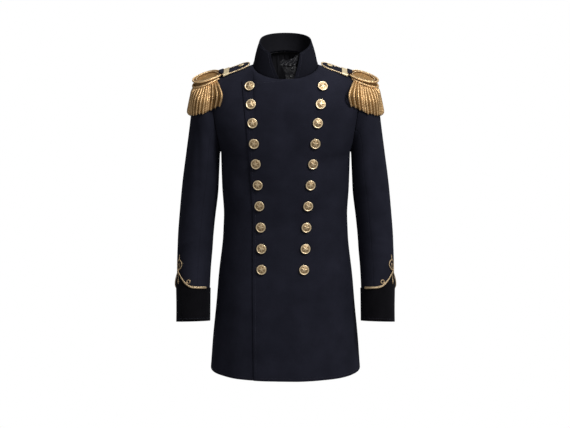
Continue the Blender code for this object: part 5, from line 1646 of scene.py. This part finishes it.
band_points, band_faces, band_groove_shade = [], [], []
steps = 240
for k in range(steps + 1):
    turn = -STRAND_ARC + 2 * STRAND_ARC * k / steps
    face = -(LOWER_CORD + BAND_GAP)
    rib = 0.5 + 0.5 * math.cos(math.pi * k / 2)
    for grow in (face - BAND_THICK, face + 0.0003 * rib):
        for drop in (BOARD_THICK + REST_GAP + 0.0008, lower_drop(turn) + LOWER_CORD + 0.0006):
            band_points.append(ring_point(turn, grow, drop))
            # Painted shade: the band's groove values are low all over and lower between its ribs, so it shows
            # dark brown in the gap between the two ropes.
            band_groove_shade.append(0.1 + 0.3 * rib)
for k in range(steps):
    a, b = 4 * k, 4 * (k + 1)
    band_faces += [(a + 2, a + 3, b + 3, b + 2), (a, b, b + 1, a + 1)]
    band_faces += [(a, a + 2, b + 2, b), (a + 1, b + 1, b + 3, a + 3)]
band_faces += [(0, 1, 3, 2), (4 * steps, 4 * steps + 2, 4 * steps + 3, 4 * steps + 1)]
for side, sign in SIDES:
    mesh = trim_mesh(f"fringe_band_{side}", sign, band_points, band_faces, band_groove_shade, gold_lace)
    face_outwards(mesh)
    band = placed(f"fringe_band_{side}", mesh)
    finished(band, [])

# %% [markdown]
# ## Edge stitching
# The edges of a good coat are stitched through a few millimetres in, with thread of the cloth's own
# colour, so that they lie flat. Each line of stitches is a path laid on the cloth, and one small stitch
# is copied along it by Geometry Nodes.

# %% The stitch tree
stitch_tree, stitch_in, stitch_out = new_tree(
    "Stitch line",
    "GeometryNodeTree",
    [("Geometry", "Geometry"), ("Master", "Object"), ("Pitch", "Float", 0.0036), ("Finish", "Material")],
    [("Geometry", "Geometry")],
)
line = put(stitch_tree, "GeometryNodeMeshToCurve", {"Mesh": stitch_in["Geometry"]}).outputs["Curve"]
even = put(stitch_tree, "GeometryNodeResampleCurve", {"Curve": line, "Length": stitch_in["Pitch"]},
           mode="LENGTH").outputs["Curve"]
ahead_way = put(stitch_tree, "GeometryNodeInputTangent").outputs[0]
along_line = put(stitch_tree, "FunctionNodeAlignRotationToVector", {"Vector": ahead_way}, axis="X").outputs[0]
one_stitch = put(stitch_tree, "GeometryNodeObjectInfo", {"Object": stitch_in["Master"]}).outputs["Geometry"]
stitches = put(stitch_tree, "GeometryNodeInstanceOnPoints",
               {"Points": even, "Instance": one_stitch, "Rotation": along_line}).outputs[0]
real = put(stitch_tree, "GeometryNodeRealizeInstances", {"Geometry": stitches}).outputs[0]
done = put(stitch_tree, "GeometryNodeSetMaterial",
           {"Geometry": real, "Material": stitch_in["Finish"]}).outputs[0]
stitch_tree.links.new(done, stitch_out["Geometry"])

# %% Stitch lines
STITCH_LENGTH, STITCH_RADIUS, EDGE_IN = 0.0027, 0.00024, 0.0055
shape = bmesh.new()
bmesh.ops.create_uvsphere(shape, u_segments=6, v_segments=4, radius=1.0)
for vert in shape.verts:
    vert.co = Vector((vert.co.z * STITCH_LENGTH / 2, vert.co.x * STITCH_RADIUS, vert.co.y * STITCH_RADIUS))
bmesh.ops.recalc_face_normals(shape, faces=shape.faces)
stitch_mesh = bpy.data.meshes.new("stitch_master")
shape.to_mesh(stitch_mesh)
shape.free()
stitch_mesh.shade_smooth()
stitch = bpy.data.objects.new("stitch_master", stitch_mesh)
bpy.context.scene.collection.objects.link(stitch)


def stitched(name, lines, pieces, finish):
    """Stitches along lines that are drawn down onto the nearest cloth."""
    surface = surface_of(*(bpy.data.objects[piece] for piece in pieces))
    laid_down = []
    for path in lines:
        spots = []
        for spot in path:
            place, way, *_ = surface.find_nearest(Vector(spot))
            spots.append(tuple(place + way * STITCH_RADIUS * 0.4))
        laid_down.append((spots, 1.0))
    piece = run_tree(name, line_mesh(name, laid_down), stitch_tree, master=stitch, finish=finish)
    finished(piece, [])
    print(f"{name}: {len(piece.data.polygons)} faces")


STITCH_AHEAD = 0.004


def along_front(column, low_row, high_row, sign, steps=120):
    spots = [sampled(front_grid, column(row), row) for row in np.linspace(low_row, high_row, steps)]
    return [(sign * x, y - STITCH_AHEAD, z) for x, y, z in spots]


LEVEL_STEP, HEM_IN, TOP_STITCH_IN, SIDE_STITCH_IN, STITCH_SPOTS = 0.0638, 0.0075, 0.22, 0.15, 160
HEM_ROW = HEM_IN / LEVEL_STEP
top_row = BODY_ROWS + LAP_ROWS


def lap_column(row):
    lap = BODY_LEVELS[-1][-1]
    if row < BODY_ROWS:
        lap = table_row(max(BODY_LEVELS[0][0] + LEVEL_STEP * row, BODY_LEVELS[0][0]))[-1]
    return LAP_COLUMNS * (1 - EDGE_IN / lap)


lap_line = along_front(lap_column, HEM_ROW, top_row - TOP_STITCH_IN, -1, STITCH_SPOTS)
top_columns = np.linspace(lap_column(top_row), 0.1, 60)
across_top = [sampled(front_grid, c, top_row - TOP_STITCH_IN) for c in top_columns]
lap_line += [(-x, y - STITCH_AHEAD, z) for x, y, z in across_top]
side_end = COLUMNS - SIDE_STITCH_IN
hem_front = [sampled(front_grid, c, HEM_ROW) for c in np.linspace(0, side_end, STITCH_SPOTS)]
hem_back = [sampled(back_grid, c, HEM_ROW) for c in np.linspace(0.1, side_end, STITCH_SPOTS)]
hem_lap = [(-x, y, z) for x, y, z in hem_front if x < BODY_LEVELS[0][-1] - EDGE_IN]
stitched("stitches_front_left", [lap_line, [tuple(p) for p in hem_front], hem_lap], ["wool_front_left"],
         navy_thread)
hem_right = [(-x, y, z) for x, y, z in hem_front if x > BODY_LEVELS[0][-1] + 0.002]
stitched("stitches_front_right", [hem_right], ["wool_front_right"], navy_thread)
stitched("stitches_back", [[tuple(p) for p in hem_back], [(-x, y, z) for x, y, z in hem_back]],
         ["wool_back_left", "wool_back_right"], navy_thread)
collar_edges = [[tuple(collar_point(share, 0.93)) for share in np.linspace(0.02, 0.98, 200)]]
collar_edges += [[tuple(collar_point(share, up)) for up in np.linspace(0.06, 0.93, 40)]
                 for share in (0.02, 0.98)]
stitched("stitches_collar", collar_edges, ["wool_collar"], navy_thread)
for side, sign in SIDES:
    cuff_line = [on_cuff(turn, EDGE_IN - CUFF_DEPTH, REST_GAP + VELVET)
                 for turn in np.linspace(-179, 179, 120)]
    stitched(f"stitches_cuff_{side}", [[(sign * p.x, p.y, p.z) for p in cuff_line]],
             [f"velvet_cuff_{side}"],
             navy_thread)
bpy.data.objects.remove(stitch, do_unlink=True)

# %% [markdown]
# ## Floor, light and camera
# The coat is nearly black and the ground is white, so the light must stay soft and low for the cloth to
# keep its depth. The floor and the sky look white to the camera, but throw back less light than they
# show, which keeps the hollows of the gold brown. A soft key light from the front right gives the
# cloth its form.

# %% White floor and sky
floor_mesh = bpy.data.meshes.new("floor")
FLOOR_Z, FLOOR_HALF, FLOOR_GREY = -1.45, 60.0, 0.35
FLOOR_CORNERS = ((-1, -1), (1, -1), (1, 1), (-1, 1))
corners = [(x * FLOOR_HALF, y * FLOOR_HALF, FLOOR_Z) for x, y in FLOOR_CORNERS]
floor_mesh.from_pydata(corners, [], [(0, 1, 2, 3)])
floor_paint = bpy.data.materials.new("floor_paint")
floor_paint.use_nodes = True
tree = floor_paint.node_tree
shader = tree.nodes["Principled BSDF"]
shader.inputs["Base Color"].default_value = (FLOOR_GREY, FLOOR_GREY, FLOOR_GREY, 1.0)
shader.inputs["Roughness"].default_value = 0.9
glow = put(tree, "ShaderNodeEmission", {"Color": (1.0, 1.0, 1.0, 1.0), "Strength": 1.0}).outputs[0]
seen = put(tree, "ShaderNodeLightPath").outputs["Is Camera Ray"]
shown = put(tree, "ShaderNodeMixShader", {0: seen, 1: shader.outputs[0], 2: glow}).outputs[0]
tree.links.new(shown, tree.nodes["Material Output"].inputs["Surface"])
floor_mesh.materials.append(floor_paint)
floor = placed("floor", floor_mesh)

world = bpy.data.worlds.new("studio")
bpy.context.scene.world = world
world.use_nodes = True
tree = world.node_tree
soft = tree.nodes["Background"]
soft.inputs["Color"].default_value = (1.0, 1.0, 1.0, 1.0)
SKY_BRIGHT_WAY, SKY_LEAST, SKY_MOST = (0.64, -0.42, 0.64), 0.07, 0.62
sky_way = put(tree, "ShaderNodeTexCoord").outputs["Generated"]
towards = put(tree, "ShaderNodeVectorMath", {0: sky_way, 1: SKY_BRIGHT_WAY},
              operation="DOT_PRODUCT").outputs["Value"]
sky = put(tree, "ShaderNodeMapRange", {
    "Value": towards, "From Min": -0.25, "From Max": 1.0, "To Min": SKY_LEAST, "To Max": SKY_MOST,
}).outputs[0]
tree.links.new(sky, soft.inputs["Strength"])
white = put(tree, "ShaderNodeBackground", {"Color": (1.0, 1.0, 1.0, 1.0), "Strength": 1.0}).outputs[0]
seen = put(tree, "ShaderNodeLightPath").outputs["Is Camera Ray"]
shown = put(tree, "ShaderNodeMixShader", {0: seen, 1: soft.outputs[0], 2: white}).outputs[0]
tree.links.new(shown, tree.nodes["World Output"].inputs["Surface"])

# %% Soft lights


def soft_light(name, place, size, power, target=(0.0, 0.0, -0.3)):
    light = bpy.data.lights.new(name, "AREA")
    light.shape, light.size, light.energy = "DISK", size, power
    item = bpy.data.objects.new(name, light)
    item.location = place
    item.rotation_euler = (Vector(target) - Vector(place)).to_track_quat("-Z", "Y").to_euler()
    bpy.context.scene.collection.objects.link(item)


soft_light("key", (1.9, -2.4, 2.6), 1.2, 135.0)
soft_light("fill", (-2.6, -3.2, 1.2), 2.4, 14.0)
soft_light("top", (0.3, 0.4, 2.8), 1.6, 24.0)

# %% Camera
PHOTO_WIDTH, CAMERA_PLACE, CAMERA_TARGET = 570, (0.0, -4.998, 0.617), (0.0, 0.0, -0.400)
eye = bpy.data.cameras.new("camera")
eye.lens, eye.sensor_width, eye.sensor_fit = 123.9, 36.0, "HORIZONTAL"
eye.shift_x, eye.shift_y = -0.5 / PHOTO_WIDTH, 1.0 / PHOTO_WIDTH
eye.clip_end = 200.0
camera = bpy.data.objects.new("camera", eye)
camera.location = CAMERA_PLACE
camera.rotation_euler = (Vector(CAMERA_TARGET) - Vector(CAMERA_PLACE)).to_track_quat("-Z", "Y").to_euler()
bpy.context.scene.collection.objects.link(camera)
bpy.context.scene.camera = camera
bpy.context.scene.view_settings.view_transform = "Standard"
